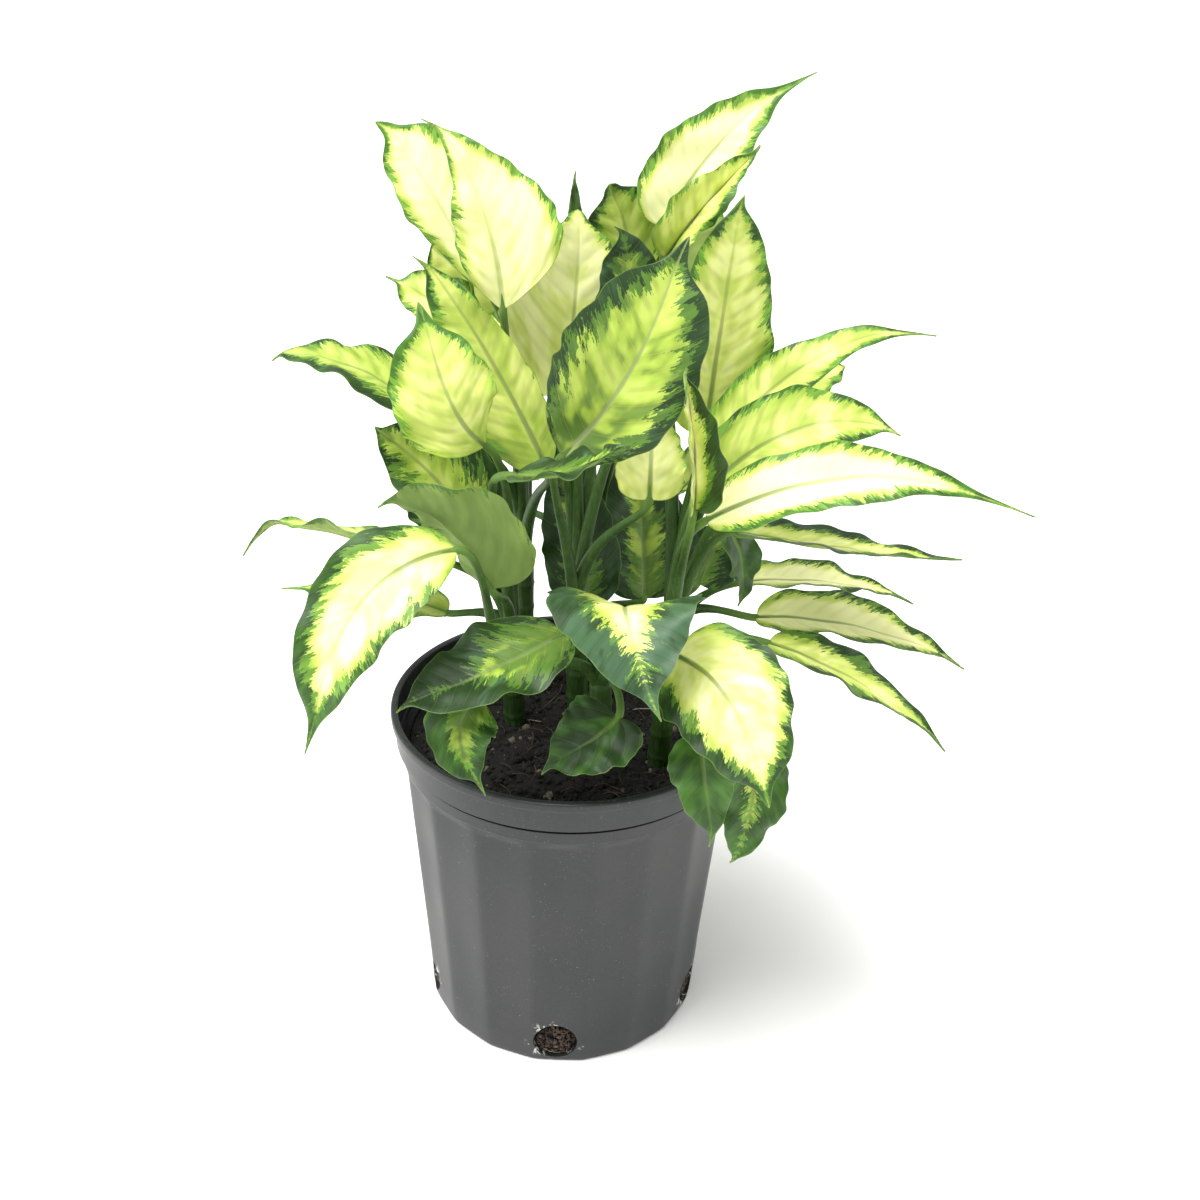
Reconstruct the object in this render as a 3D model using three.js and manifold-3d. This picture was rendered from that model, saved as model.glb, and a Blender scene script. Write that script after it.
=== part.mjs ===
// Potted dieffenbachia: a variegated leafy plant of seven canes in a fluted nursery pot.
// Millimetres, +Z up. The origin is the middle of the pot's underside.

import * as THREE from 'three';
import { mergeVertices } from 'three/addons/utils/BufferGeometryUtils.js';
import Module from 'manifold-3d';

// Clearance between pieces that touch
const GAP = 0.3;

// Driving dimensions of the pot
const RIM_RADIUS = 82.5;
const POT_HEIGHT = 162;
const BASE_RADIUS = 66.6;
const BASE_CORNER = 4;
const BAND_HEIGHT = 15.8;
const BAND_LOWER_RADIUS = 80.4;
const NECK_RADIUS = 78.2;
const GROOVE_DEPTH = 0.8;
const GROOVE_SLOPE = 3;
const LIP = 1.6;
const LIP_HEIGHT = 5;
const LIP_ROUND = 1.2;
const WALL = 1.8;
const FLOOR = 2.4;
const BASE_BEVEL = 1.4;
const STEP_SLOPE = 4;
const GROOVE_HEIGHT = 2;
const FLUTES = 18;
const FLUTE_SIDES = 3;
const FLUTE_DEPTH = 1.5;
const FLUTE_TOP = 137.5;
const FLUTE_ARCH = 4;
const WALL_LEVELS = [133.5, 137.5];
const DRAINS = 5;
const DRAIN_RADIUS = 10.4;
const DRAIN_SIDES = 14;
const DRAIN_LEVEL = 13.2;
const DRAIN_LENGTH = 24;
const DRAIN_TURN = -0.02;

// Driving dimensions of the soil
const SOIL_LEVEL = 145;
const SOIL_MOUND = 3;
const SOIL_LUMPS = 1.6;
const LARGE_LUMPS = 3;
const SMALL_LUMPS = 7;
const LUMP_SPACING = 6;
const SOIL_SHOULDER = 2;
const SOIL_RINGS = 5;
const SOIL_SIDES = 30;
const PLANTING_DEPTH = 24;

// Driving dimensions of the canes and leaf stalks
const CANE_RADIUS = 5.2;
const CANE_SIDES = 10;
const CANE_HOLE_SIDES = 12;
const CANE_STEPS = 6;
const STALK_SIDES = 5;
const STALK_STEP = 26;
const STALK_MIN_STEPS = 4;
const STALK_FOOT_RADIUS = 3.6;
const STALK_TIP_RADIUS = 1.8;
const STALK_TAPER = 1.6;
const STALK_RISE = 0.6;
const STALK_ARRIVAL = 0.15;
const LOWEST_STALK = 0.35;
const HIGHEST_STALK = 0.95;
const CANE_HOLE_HEIGHT = 60;
const COLLAR = 2;

// Driving dimensions of the blades
const BLADE_THICKNESS = 0.9;
const RIB_DEPTH = 1.5;
const WIDE_ROWS = 8;
const NARROW_ROWS = 7;
const WIDE_BLADE = 41;
const WIDE_COLUMNS = 6;
const NARROW_COLUMNS = 4;
const BASE_HALF_WIDTH = 1.5;
const TIP_HALF_WIDTH = 0.5;
const RIB_TAPER = 0.75;
const ROW_CROWDING = 1.25;
const HOOK_START = 0.8;
const TWIST_MIDDLE = 0.4;
const MARGIN_OFFSET = 0.4;

// How a blade is bent where its own line below says nothing else: fold and twist in degrees,
// wave in millimetres, waves along the margin and where they begin, a cup and a base lobe as parts
// of the width, a hook of the tip in millimetres, the two sides' share of the width, and the rise
// and fall of the outline. A blade may also name a point that its stalk passes by, as via.
const PLAIN_BLADE = {
  fold: 12,
  twist: 0,
  wave: 2,
  waves: 2.5,
  phase: 0,
  cup: 0,
  lobe: 0.15,
  hook: [0, 0, 0],
  left: 1,
  right: 1,
  rise: 0.5,
  fall: 1,
};

// One leaf: the base, middle and tip of its midrib, its width and the way its upper side faces
const leaf = (name, base, middle, tip, width, face, bends = {}) => (
  { ...PLAIN_BLADE, name, base, middle, tip, width, face, ...bends });

// The canes: where each stands in the soil, the top of it, and the leaves that grow from it
const CANES = [
  {
    name: 'left',
    foot: [-26, 8],
    top: [-28, 4, 196],
    leaves: [
      leaf('left_upper_front', [-36, -28, 300], [-49, -38, 323], [-60, -25, 355], 42, [0.1, -0.9, 0.4],
        { left: 1.12, right: 0.95, rise: 0.7, fall: 0.75, lobe: -0.8 }),
      leaf('low_centre', [-22, -60, 301], [2, -68, 308], [21, -66, 320], 34, [-0.1, 0.12, 0.98]),
      leaf('left_middle', [-39, -1, 242], [-61, -3, 275], [-88, -2, 297], 40, [0.1, -0.85, 0.5],
        { right: 1.2 }),
      leaf('left_underside', [-33, -40, 241], [-50, -48, 273], [-76, -53, 286], 46, [0.3, 0.8, 0.3],
        { left: 1.25, right: 0.5 }),
      leaf('left_drooping', [-45, -62, 269], [-81, -86, 254], [-99, -102, 199], 42, [-0.1, -0.7, 0.7],
        { rise: 0.7, via: [-34, -52, 206] }),
      leaf('far_left_thin', [-58, -6, 236], [-106, 0, 245], [-141, 2, 248], 34, [0, 0.4, 0.9],
        { hook: [-8, 0, -15] }),
      leaf('left_low_back', [-57, 8, 202], [-93, 12, 209], [-131, 16, 207], 36, [0, 0, 1]),
    ],
  },
  {
    name: 'back_left',
    foot: [-24, 44],
    top: [-24, 42, 215],
    leaves: [
      leaf('top_left_back', [-36, 20, 346], [-59, 22, 386], [-80, 30, 415], 34, [-0.25, -0.85, 0.4],
        { hook: [-3, 0, 2], left: 0.8, right: 1.15, rise: 0.95, fall: 0.7 }),
      leaf('top_left_front', [-31, 4, 347], [-40, 8, 389], [-61, 14, 422], 46, [-0.1, -0.9, 0.4],
        { left: 0.65, right: 1.28, rise: 0.6, fall: 1.6, lobe: -0.5 }),
      leaf('upper_left_small', [-35, 46, 336], [-54, 48, 351], [-67, 50, 361], 30, [-0.6, -0.6, 0.5]),
      leaf('upper_left_tip', [-46, 14, 332], [-62, 16, 346], [-79, 20, 353], 32, [-0.2, -0.4, 0.9]),
      leaf('left_upper', [-12, -12, 285], [-37, -7, 332], [-65, 2, 370], 40, [0.1, -0.9, 0.4],
        { right: 0.62 }),
      leaf('far_left_upper', [-61, 2, 299], [-96, 8, 319], [-131, 10, 322], 38, [0, -0.1, 1], { wave: 1 }),
    ],
  },
  {
    name: 'centre',
    foot: [4, 6],
    top: [2, 2, 210],
    leaves: [
      leaf('centre_front', [-4, -38, 301], [22, -48, 342], [39, -34, 387], 58, [0, -0.93, 0.33],
        { rise: 0.75, fall: 0.8, right: 0.88 }),
      leaf('centre_pale', [-6, 20, 304], [-2, 25, 345], [-1, 28, 384], 48, [0, -0.95, 0.3],
        { left: 1.3, right: 0.8, rise: 0.35, fall: 0.5 }),
      leaf('centre_top', [19, 46, 336], [20, 46, 364], [9, 46, 391], 36, [0.1, -0.9, 0.4], { fall: 0.45 }),
      leaf('centre_spear', [-3, 40, 345], [-3, 40, 372], [-4, 40, 396], 8, [0, -1, 0.2]),
      leaf('centre_dark_tip', [27, 18, 328], [22, 18, 355], [16, 18, 381], 35, [0, -0.9, 0.4]),
      leaf('centre_pale_back', [32, -20, 275], [32, -18, 296], [32, -14, 320], 30, [0, -0.9, 0.4]),
    ],
  },
  {
    name: 'front',
    foot: [16, -18],
    top: [14, -24, 190],
    leaves: [
      leaf('front_left', [-2, -56, 229], [-35, -80, 222], [-67, -94, 215], 42, [0, -0.31, 0.95]),
      leaf('front_left_low', [-35, -72, 206], [-42, -84, 195], [-32, -90, 174], 30, [0, -0.85, 0.5]),
      leaf('young_heart', [22, -66, 196], [11, -74, 189], [-9, -78, 178], 36, [0, -0.6, 0.8],
        { rise: 0.42, fall: 0.8, wave: 0.6, lobe: 0.15 }),
      leaf('front_centre', [24, -54, 239], [24, -90, 254], [35, -116, 228], 62, [0, -0.5, 0.85]),
    ],
  },
  {
    name: 'right',
    foot: [42, -22],
    top: [44, -28, 192],
    leaves: [
      leaf('front_right', [45, -62, 224], [66, -92, 220], [82, -104, 182], 50, [0.1, -0.8, 0.6],
        { fall: 0.75 }),
      leaf('front_right_low', [56, -78, 196], [58, -90, 181], [63, -96, 155], 28, [-0.2, -0.8, 0.5]),
      leaf('right_low_hanging', [79, -62, 182], [80, -72, 158], [73, -76, 127], 30, [0.1, -0.9, 0.4]),
      leaf('young_folded', [48, -61, 290], [46, -63, 320], [40, -59, 348], 32, [0.3, -0.9, 0.3],
        { fold: 62, wave: 1 }),
      leaf('right_long', [54, -58, 284], [105, -68, 308], [158, -64, 300], 30, [0, -0.6, 0.8],
        { hook: [20, 0, -5] }),
      leaf('right_middle', [53, -28, 281], [90, -36, 315], [131, -30, 312], 37, [0, -0.6, 0.8]),
      leaf('right_lowest', [83, -56, 228], [119, -66, 217], [157, -74, 193], 31, [0, 0, 1], { wave: 0.8 }),
      leaf('right_curled', [66, -8, 259], [74, -11, 241], [74, -13, 222], 22, [0.7, -0.6, 0.3]),
      leaf('right_thin_upper', [69, -24, 263], [113, -28, 259], [161, -30, 256], 36, [0, 0.17, 0.98],
        { wave: 0.8 }),
    ],
  },
  {
    name: 'back_right',
    foot: [44, 22],
    top: [46, 18, 200],
    leaves: [
      leaf('right_upper', [55, -4, 277], [85, -4, 323], [138, 0, 349], 27, [0, -0.6, 0.8],
        { hook: [9, 0, -6] }),
      leaf('right_upper_back', [73, 24, 280], [97, 28, 306], [119, 32, 319], 38, [0, -0.3, 0.95]),
      leaf('right_thin_lower', [79, 14, 220], [117, 20, 218], [156, 22, 210], 36, [0, 0.1, 0.99],
        { wave: 0.8 }),
      leaf('right_low', [82, -14, 217], [126, -20, 217], [172, -24, 203], 38, [0, -0.1, 1], { wave: 0.8 }),
      leaf('right_inner', [56, 0, 226], [62, 2, 242], [65, 2, 258], 28, [0, -0.9, 0.4]),
      leaf('upper_right', [56, 16, 291], [60, 12, 349], [64, 8, 399], 45, [0.1, -0.92, 0.35]),
      leaf('top_right', [36, 34, 375], [51, 40, 403], [83, 46, 434], 40, [-0.1, -0.9, 0.4],
        { hook: [10, 0, 4] }),
      leaf('top_right_folded', [36, 26, 365], [51, 24, 388], [73, 22, 413], 28, [-0.3, -0.85, 0.4],
        { fold: 52 }),
    ],
  },
  {
    name: 'back',
    foot: [8, 50],
    top: [8, 54, 205],
    leaves: [
      leaf('inner_left', [4, 36, 194], [0, 38, 234], [-10, 39, 284], 42, [-0.15, -0.95, 0.3],
        { left: 0.8 }),
      leaf('inner_right', [34, 44, 194], [31, 47, 236], [24, 49, 286], 44, [0.15, -0.95, 0.3]),
      leaf('back_top_left', [-24, 66, 318], [-34, 84, 356], [-40, 96, 386], 36, [-0.3, 0.7, 0.6]),
      leaf('back_top_right', [36, 66, 322], [48, 84, 356], [58, 96, 386], 36, [0.3, 0.7, 0.6]),
      leaf('back_upper', [6, 70, 304], [8, 96, 330], [8, 120, 340], 40, [0, 0.5, 0.85]),
      leaf('back_high_left', [-28, 72, 292], [-49, 100, 306], [-67, 130, 294], 42, [-0.2, 0.3, 0.9]),
      leaf('back_high_right', [33, 72, 294], [51, 102, 314], [68, 130, 298], 42, [0.2, 0.3, 0.9]),
      leaf('back_middle', [5, 80, 280], [8, 118, 298], [8, 152, 281], 44, [0, 0.4, 0.9]),
      leaf('back_low_left', [-38, 78, 228], [-70, 106, 230], [-85, 135, 200], 40, [-0.2, 0.3, 0.9]),
      leaf('back_low_right', [50, 78, 236], [76, 106, 241], [90, 135, 218], 40, [0.2, 0.3, 0.9]),
      leaf('back_low', [12, 82, 200], [11, 115, 204], [6, 148, 172], 40, [0, 0.4, 0.9]),
    ],
  },
];

// Finishes
const finish = (color, roughness) => new THREE.MeshStandardMaterial({ color, roughness, metalness: 0 });
const POT_FINISH = finish(0x3c4044, 0.5);
const SOIL_FINISH = finish(0x1e1712, 0.95);
const CANE_FINISH = finish(0x5f8a4c, 0.55);
const LEAF_FINISH = finish(0xb9d46a, 0.45);

const vec = (xyz) => new THREE.Vector3(...xyz);
const mix = THREE.MathUtils.lerp;
const radians = THREE.MathUtils.degToRad;

// Solids for joins and cuts
const wasm = await Module();
wasm.setup();

function toSolid(geometry) {
  const bare = geometry.clone();
  bare.deleteAttribute('normal');
  bare.deleteAttribute('uv');
  const merged = mergeVertices(bare, 1e-4);
  return new wasm.Manifold(new wasm.Mesh({
    numProp: 3,
    vertProperties: new Float32Array(merged.attributes.position.array),
    triVerts: new Uint32Array(merged.index.array),
  }));
}

function toGeometry(solid) {
  const mesh = solid.getMesh();
  const geometry = new THREE.BufferGeometry();
  geometry.setAttribute('position', new THREE.BufferAttribute(new Float32Array(mesh.vertProperties), 3));
  geometry.setIndex(new THREE.BufferAttribute(new Uint32Array(mesh.triVerts), 1));
  geometry.computeVertexNormals();
  return geometry;
}

function fromPoints(points, triangles) {
  const geometry = new THREE.BufferGeometry().setFromPoints(points);
  geometry.setIndex(triangles);
  geometry.computeVertexNormals();
  return geometry;
}

// A skin of rings of points, one above the next, closed at both ends on a middle point
function ringSkin(rings, low, high) {
  const sides = rings[0].length;
  const points = [low, ...rings.flat(), high];
  const last = points.length - 1;
  const top = rings.length - 1;
  const at = (ring, side) => 1 + ring * sides + (side % sides);
  const triangles = [];
  for (let side = 0; side < sides; side += 1) {
    triangles.push(0, at(0, side + 1), at(0, side));
    triangles.push(last, at(top, side), at(top, side + 1));
    for (let ring = 0; ring < top; ring += 1) {
      triangles.push(at(ring, side), at(ring, side + 1), at(ring + 1, side + 1));
      triangles.push(at(ring, side), at(ring + 1, side + 1), at(ring + 1, side));
    }
  }
  return fromPoints(points, triangles);
}

// A turned shape. The profile runs from the axis to the axis, and shift gives how far each point
// moves outwards and upwards.
function turned(profile, sides, shift) {
  const rings = profile.slice(1, -1).map(([radius, z]) => (
    Array.from({ length: sides }, (_, side) => {
      const angle = (2 * Math.PI * side) / sides;
      const [out, lift] = shift(angle, radius, z);
      return new THREE.Vector3((radius + out) * Math.cos(angle), (radius + out) * Math.sin(angle), z + lift);
    })));
  const low = new THREE.Vector3(0, 0, profile[0][1]);
  const high = new THREE.Vector3(0, 0, profile[profile.length - 1][1]);
  return ringSkin(rings, low, high);
}

// A round rod of changing thickness along a curve
function rod(curve, radiusAt, sides, steps) {
  const frames = curve.computeFrenetFrames(steps, false);
  const rings = Array.from({ length: steps + 1 }, (_, step) => {
    const centre = curve.getPointAt(step / steps);
    const radius = radiusAt(step / steps);
    return Array.from({ length: sides }, (_unused, side) => {
      const angle = (2 * Math.PI * side) / sides;
      return centre.clone()
        .addScaledVector(frames.normals[step], radius * Math.cos(angle))
        .addScaledVector(frames.binormals[step], radius * Math.sin(angle));
    });
  });
  return ringSkin(rings, curve.getPoint(0), curve.getPoint(1));
}

// Pot: a tapered wall with shallow flutes outside, a rolled rim band over a groove, and a floor
const bandFoot = POT_HEIGHT - BAND_HEIGHT;
const groove = bandFoot - GROOVE_HEIGHT;
const wallRadius = (z) => mix(BASE_RADIUS, NECK_RADIUS, z / bandFoot);
const innerRadius = (z) => wallRadius(z) - FLUTE_DEPTH - WALL;

function fluteShift(angle, z) {
  const across = Math.abs(Math.sin((FLUTES * angle) / 2));
  const top = FLUTE_TOP - FLUTE_ARCH * (1 - across);
  const fade = THREE.MathUtils.smoothstep(top - z, 0, FLUTE_ARCH);
  return -FLUTE_DEPTH * fade * across;
}

function drainHole(drain) {
  const hole = new THREE.CylinderGeometry(DRAIN_RADIUS, DRAIN_RADIUS, DRAIN_LENGTH, DRAIN_SIDES);
  hole.rotateZ(-Math.PI / 2);
  hole.translate(BASE_RADIUS, 0, DRAIN_LEVEL);
  hole.rotateZ(-Math.PI / 2 + DRAIN_TURN + (2 * Math.PI * drain) / DRAINS);
  return hole;
}

function potGeometry() {
  const foot = [[0, 0], [BASE_RADIUS - BASE_CORNER, 0], [BASE_RADIUS - BASE_BEVEL, BASE_BEVEL]];
  const wall = [BASE_CORNER, ...WALL_LEVELS, groove - GROOVE_SLOPE].map((z) => [wallRadius(z), z]);
  const rim = [
    [NECK_RADIUS - GROOVE_DEPTH, groove],
    [NECK_RADIUS - GROOVE_DEPTH, bandFoot],
    [BAND_LOWER_RADIUS, bandFoot],
    [RIM_RADIUS - LIP, POT_HEIGHT - LIP_HEIGHT],
    [RIM_RADIUS, POT_HEIGHT - LIP_HEIGHT + LIP_ROUND],
    [RIM_RADIUS, POT_HEIGHT - LIP_ROUND],
    [RIM_RADIUS - LIP_ROUND, POT_HEIGHT],
    [RIM_RADIUS - 2 * LIP_ROUND, POT_HEIGHT],
    [RIM_RADIUS - LIP - WALL, POT_HEIGHT - LIP_ROUND],
  ];
  const inside = [bandFoot - STEP_SLOPE, FLOOR].map((z) => [innerRadius(z), z]);
  const profile = [...foot, ...wall, ...rim, [BAND_LOWER_RADIUS - WALL, bandFoot], ...inside, [0, FLOOR]];
  const shift = (angle, radius, z) => {
    const isFluted = radius > innerRadius(z) + WALL && z < groove;
    return [isFluted ? fluteShift(angle, z) : 0, 0];
  };
  let solid = toSolid(turned(profile, FLUTES * FLUTE_SIDES, shift));
  for (let drain = 0; drain < DRAINS; drain += 1) {
    solid = solid.subtract(toSolid(drainHole(drain)));
  }
  return toGeometry(solid);
}

// Soil: fills the pot up to its level, mounded and lumpy, with a plain hole for each cane
function caneHole(cane) {
  const radius = (CANE_RADIUS + GAP) / Math.cos(Math.PI / CANE_HOLE_SIDES);
  const hole = new THREE.CylinderGeometry(radius, radius, CANE_HOLE_HEIGHT, CANE_HOLE_SIDES);
  hole.rotateX(Math.PI / 2);
  hole.translate(cane.foot[0], cane.foot[1], SOIL_LEVEL - PLANTING_DEPTH + CANE_HOLE_HEIGHT / 2);
  return hole;
}

function soilGeometry() {
  const bottom = FLOOR + GAP;
  const edgeLevel = SOIL_LEVEL - SOIL_MOUND - SOIL_SHOULDER;
  const edge = innerRadius(edgeLevel) - GAP;
  const profile = [[0, bottom], [innerRadius(bottom) - GAP, bottom], [edge, edgeLevel]];
  for (let ring = 0; ring < SOIL_RINGS; ring += 1) {
    const part = 1 - ring / SOIL_RINGS;
    profile.push([edge * part, SOIL_LEVEL - SOIL_MOUND * part * part]);
  }
  profile.push([0, SOIL_LEVEL]);
  const shift = (angle, radius, z) => {
    if (z <= edgeLevel) return [0, 0];
    const turn = radius / LUMP_SPACING;
    const lumps = Math.sin(LARGE_LUMPS * angle + turn) + Math.sin(SMALL_LUMPS * angle - turn);
    return [0, (SOIL_LUMPS * lumps) / 2];
  };
  let solid = toSolid(turned(profile, SOIL_SIDES, shift));
  for (const cane of CANES) {
    solid = solid.subtract(toSolid(caneHole(cane)));
  }
  return toGeometry(solid);
}

// The line of a blade's midrib: a bend through its base, middle and tip, then the hooked tip
function midribAt(blade, s) {
  const base = vec(blade.base);
  const tip = vec(blade.tip);
  const bend = vec(blade.middle).multiplyScalar(2).addScaledVector(base, -0.5).addScaledVector(tip, -0.5);
  const hook = Math.max(0, (s - HOOK_START) / (1 - HOOK_START)) ** 2;
  return base.multiplyScalar((1 - s) ** 2)
    .addScaledVector(bend, 2 * s * (1 - s))
    .addScaledVector(tip, s * s)
    .addScaledVector(vec(blade.hook), hook);
}

function midribDirection(blade, s) {
  const step = 0.01;
  const low = THREE.MathUtils.clamp(s - step, 0, 1 - 2 * step);
  return midribAt(blade, low + 2 * step).sub(midribAt(blade, low)).normalize();
}

// How wide a blade is along its length, as a part of its greatest width
function outlineAt(blade, s) {
  const { rise, fall } = blade;
  const widest = rise / (rise + fall);
  const full = (widest ** rise) * ((1 - widest) ** fall);
  return ((s ** rise) * ((1 - s) ** fall)) / full;
}

// A point of the blade's middle layer: s runs from base to tip, v from the left margin to the right
function bladePoint(blade, s, v) {
  const along = midribDirection(blade, s);
  const facing = vec(blade.face);
  facing.addScaledVector(along, -facing.dot(along)).normalize();
  facing.applyAxisAngle(along, radians(blade.twist * (s - TWIST_MIDDLE)));
  const across = along.clone().cross(facing);
  const side = Math.abs(v);
  const share = v > 0 ? blade.right : blade.left;
  const narrowest = mix(BASE_HALF_WIDTH, TIP_HALF_WIDTH, s);
  const half = Math.max(narrowest, (share * blade.width * outlineAt(blade, s)) / 2);
  const fold = radians(blade.fold);
  const turn = blade.waves * s + blade.phase + (v > 0 ? MARGIN_OFFSET : 0);
  const ripple = blade.wave * side * side * Math.sin(2 * Math.PI * turn) * Math.sin(Math.PI * s);
  return midribAt(blade, s)
    .addScaledVector(across, half * v * Math.cos(fold))
    .addScaledVector(facing, half * (side * Math.sin(fold) + blade.cup * side * side) + ripple)
    .addScaledVector(along, -blade.lobe * half * side * side * (1 - s) ** 3);
}

function bladeNormal(blade, s, v) {
  const step = 0.02;
  const before = bladePoint(blade, Math.max(0, s - step), v);
  const along = bladePoint(blade, Math.min(1, s + step), v).sub(before);
  const beside = bladePoint(blade, s, Math.max(-1, v - step));
  const across = bladePoint(blade, s, Math.min(1, v + step)).sub(beside);
  return across.cross(along).normalize();
}

// A blade: an upper and a lower face split into triangles alike, a rib below and a closed margin
function bladeGeometry(blade) {
  const isWide = blade.width >= WIDE_BLADE;
  const rows = isWide ? WIDE_ROWS : NARROW_ROWS;
  const columns = isWide ? WIDE_COLUMNS : NARROW_COLUMNS;
  const upper = [];
  const lower = [];
  for (let row = 0; row <= rows; row += 1) {
    const s = (row / rows) ** ROW_CROWDING;
    for (let column = 0; column <= columns; column += 1) {
      const v = (2 * column) / columns - 1;
      const normal = bladeNormal(blade, s, v);
      const rib = v === 0 ? RIB_DEPTH * (1 - RIB_TAPER * s) : 0;
      upper.push(bladePoint(blade, s, v).addScaledVector(normal, BLADE_THICKNESS / 2));
      lower.push(bladePoint(blade, s, v).addScaledVector(normal, -BLADE_THICKNESS / 2 - rib));
    }
  }
  const triangles = [];
  const under = upper.length;
  const at = (row, column) => row * (columns + 1) + column;
  const face = (a, b, c) => {
    triangles.push(a, b, c);
    triangles.push(under + a, under + c, under + b);
  };
  const edge = (a, b) => triangles.push(b, a, under + a, b, under + a, under + b);
  for (let row = 0; row < rows; row += 1) {
    for (let column = 0; column < columns; column += 1) {
      const [a, b] = [at(row, column), at(row, column + 1)];
      const [d, c] = [at(row + 1, column), at(row + 1, column + 1)];
      if (column * 2 < columns) {
        face(a, b, c);
        face(a, c, d);
      } else {
        face(a, b, d);
        face(b, c, d);
      }
    }
    edge(at(row + 1, 0), at(row, 0));
    edge(at(row, columns), at(row + 1, columns));
  }
  for (let column = 0; column < columns; column += 1) {
    edge(at(0, column), at(0, column + 1));
    edge(at(rows, column + 1), at(rows, column));
  }
  return fromPoints([...upper, ...lower], triangles);
}

// A leaf stalk rises out of its cane and swings over to the base of its blade
function stalkCurve(cane, blade, height) {
  const along = midribDirection(blade, 0);
  const start = new THREE.Vector3(cane.foot[0], cane.foot[1], SOIL_LEVEL).lerp(vec(cane.top), height);
  const end = vec(blade.base).addScaledVector(along, -GAP);
  const reach = start.distanceTo(end);
  const rising = blade.via ? vec(blade.via) : new THREE.Vector3(0, 0, reach * STALK_RISE).add(start);
  const arriving = end.clone().addScaledVector(along, -reach * STALK_ARRIVAL);
  return new THREE.CubicBezierCurve3(start, rising, arriving, end);
}

// A cane with its leaf stalks grown out of it. The first leaf's stalk begins lowest.
function caneGeometry(cane) {
  const foot = new THREE.Vector3(cane.foot[0], cane.foot[1], SOIL_LEVEL - PLANTING_DEPTH + GAP);
  const collar = new THREE.Vector3(cane.foot[0], cane.foot[1], SOIL_LEVEL + COLLAR);
  const line = new THREE.CatmullRomCurve3([foot, collar, vec(cane.top)]);
  let solid = toSolid(rod(line, () => CANE_RADIUS, CANE_SIDES, CANE_STEPS));
  const stalkRadius = (t) => mix(STALK_FOOT_RADIUS, STALK_TIP_RADIUS, Math.min(1, t * STALK_TAPER));
  cane.leaves.forEach((blade, order) => {
    const height = mix(LOWEST_STALK, HIGHEST_STALK, order / (cane.leaves.length - 1));
    const curve = stalkCurve(cane, blade, height);
    const steps = Math.max(STALK_MIN_STEPS, Math.round(curve.getLength() / STALK_STEP));
    solid = solid.add(toSolid(rod(curve, stalkRadius, STALK_SIDES, steps)));
  });
  return toGeometry(solid);
}

// The whole plant in its pot
const group = new THREE.Group();

function place(name, geometry, material) {
  const mesh = new THREE.Mesh(geometry, material);
  mesh.name = name;
  group.add(mesh);
}

place('pot', potGeometry(), POT_FINISH);
place('soil', soilGeometry(), SOIL_FINISH);
for (const cane of CANES) {
  place(`stem_${cane.name}`, caneGeometry(cane), CANE_FINISH);
  for (const blade of cane.leaves) {
    place(`leaf_${blade.name}`, bladeGeometry(blade), LEAF_FINISH);
  }
}

export default group;
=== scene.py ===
"""A potted dieffenbachia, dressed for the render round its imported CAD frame.

Sizes are millimetres in the row frame, +Z up, with the origin in the middle of the pot's
underside, and they become metres where a mesh is made. The canes and leaves repeat the part's
own figures, so each finer blade stands exactly where its solid does.
"""

import logging
import math
from dataclasses import dataclass
from enum import Enum
from typing import Any, Sequence

import bpy
import numpy as np
from mathutils import Matrix, Vector

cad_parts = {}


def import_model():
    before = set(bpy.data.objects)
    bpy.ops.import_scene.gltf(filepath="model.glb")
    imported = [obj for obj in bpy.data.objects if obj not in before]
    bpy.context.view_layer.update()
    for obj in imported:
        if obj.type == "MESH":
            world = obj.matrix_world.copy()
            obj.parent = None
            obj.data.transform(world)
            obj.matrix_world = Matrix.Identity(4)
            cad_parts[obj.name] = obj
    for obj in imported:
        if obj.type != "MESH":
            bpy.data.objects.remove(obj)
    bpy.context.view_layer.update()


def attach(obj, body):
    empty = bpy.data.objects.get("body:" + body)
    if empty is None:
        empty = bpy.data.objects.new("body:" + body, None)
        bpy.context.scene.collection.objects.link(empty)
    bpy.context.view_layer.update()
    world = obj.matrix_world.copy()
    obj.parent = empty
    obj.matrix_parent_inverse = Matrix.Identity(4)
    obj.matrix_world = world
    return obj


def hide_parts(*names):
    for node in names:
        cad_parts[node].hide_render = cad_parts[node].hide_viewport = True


LOG = logging.getLogger("dieffenbachia")

MM = 0.001
BODY = "root"
SIDE_VEIN_GAP = 8.0

Point = tuple[float, float, float]
Array = np.ndarray
Socket = bpy.types.NodeSocket
Material = bpy.types.Material
Mesh = bpy.types.Mesh
Piece = bpy.types.Object


# Numbers and curves


def smooth(low: float, high: float, value: Array) -> Array:
    """An S-shaped step from 0 at low to 1 at high."""
    part = np.clip((value - low) / (high - low), 0.0, 1.0)
    return part * part * (3.0 - 2.0 * part)


def unit(vectors: Array) -> Array:
    """The same vectors, one unit long."""
    length = np.linalg.norm(vectors, axis=-1, keepdims=True)
    return vectors / np.maximum(length, 1e-9)


def circle(sides: int) -> Array:
    """The angles of evenly spaced points round a circle, in radians."""
    return np.linspace(0.0, 2 * math.pi, sides, endpoint=False)


def linear(code: str) -> tuple[float, float, float, float]:
    """A screen colour as the renderer's linear colour.

    Args:
        code: six hexadecimal digits.

    Returns:
        Red, green and blue from 0 to 1, and an alpha of 1.
    """
    parts = [int(code[at:at + 2], 16) / 255.0 for at in (0, 2, 4)]
    red, green, blue = (
        part / 12.92 if part <= 0.04045 else ((part + 0.055) / 1.055) ** 2.4 for part in parts)
    return red, green, blue, 1.0


# Node trees


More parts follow.
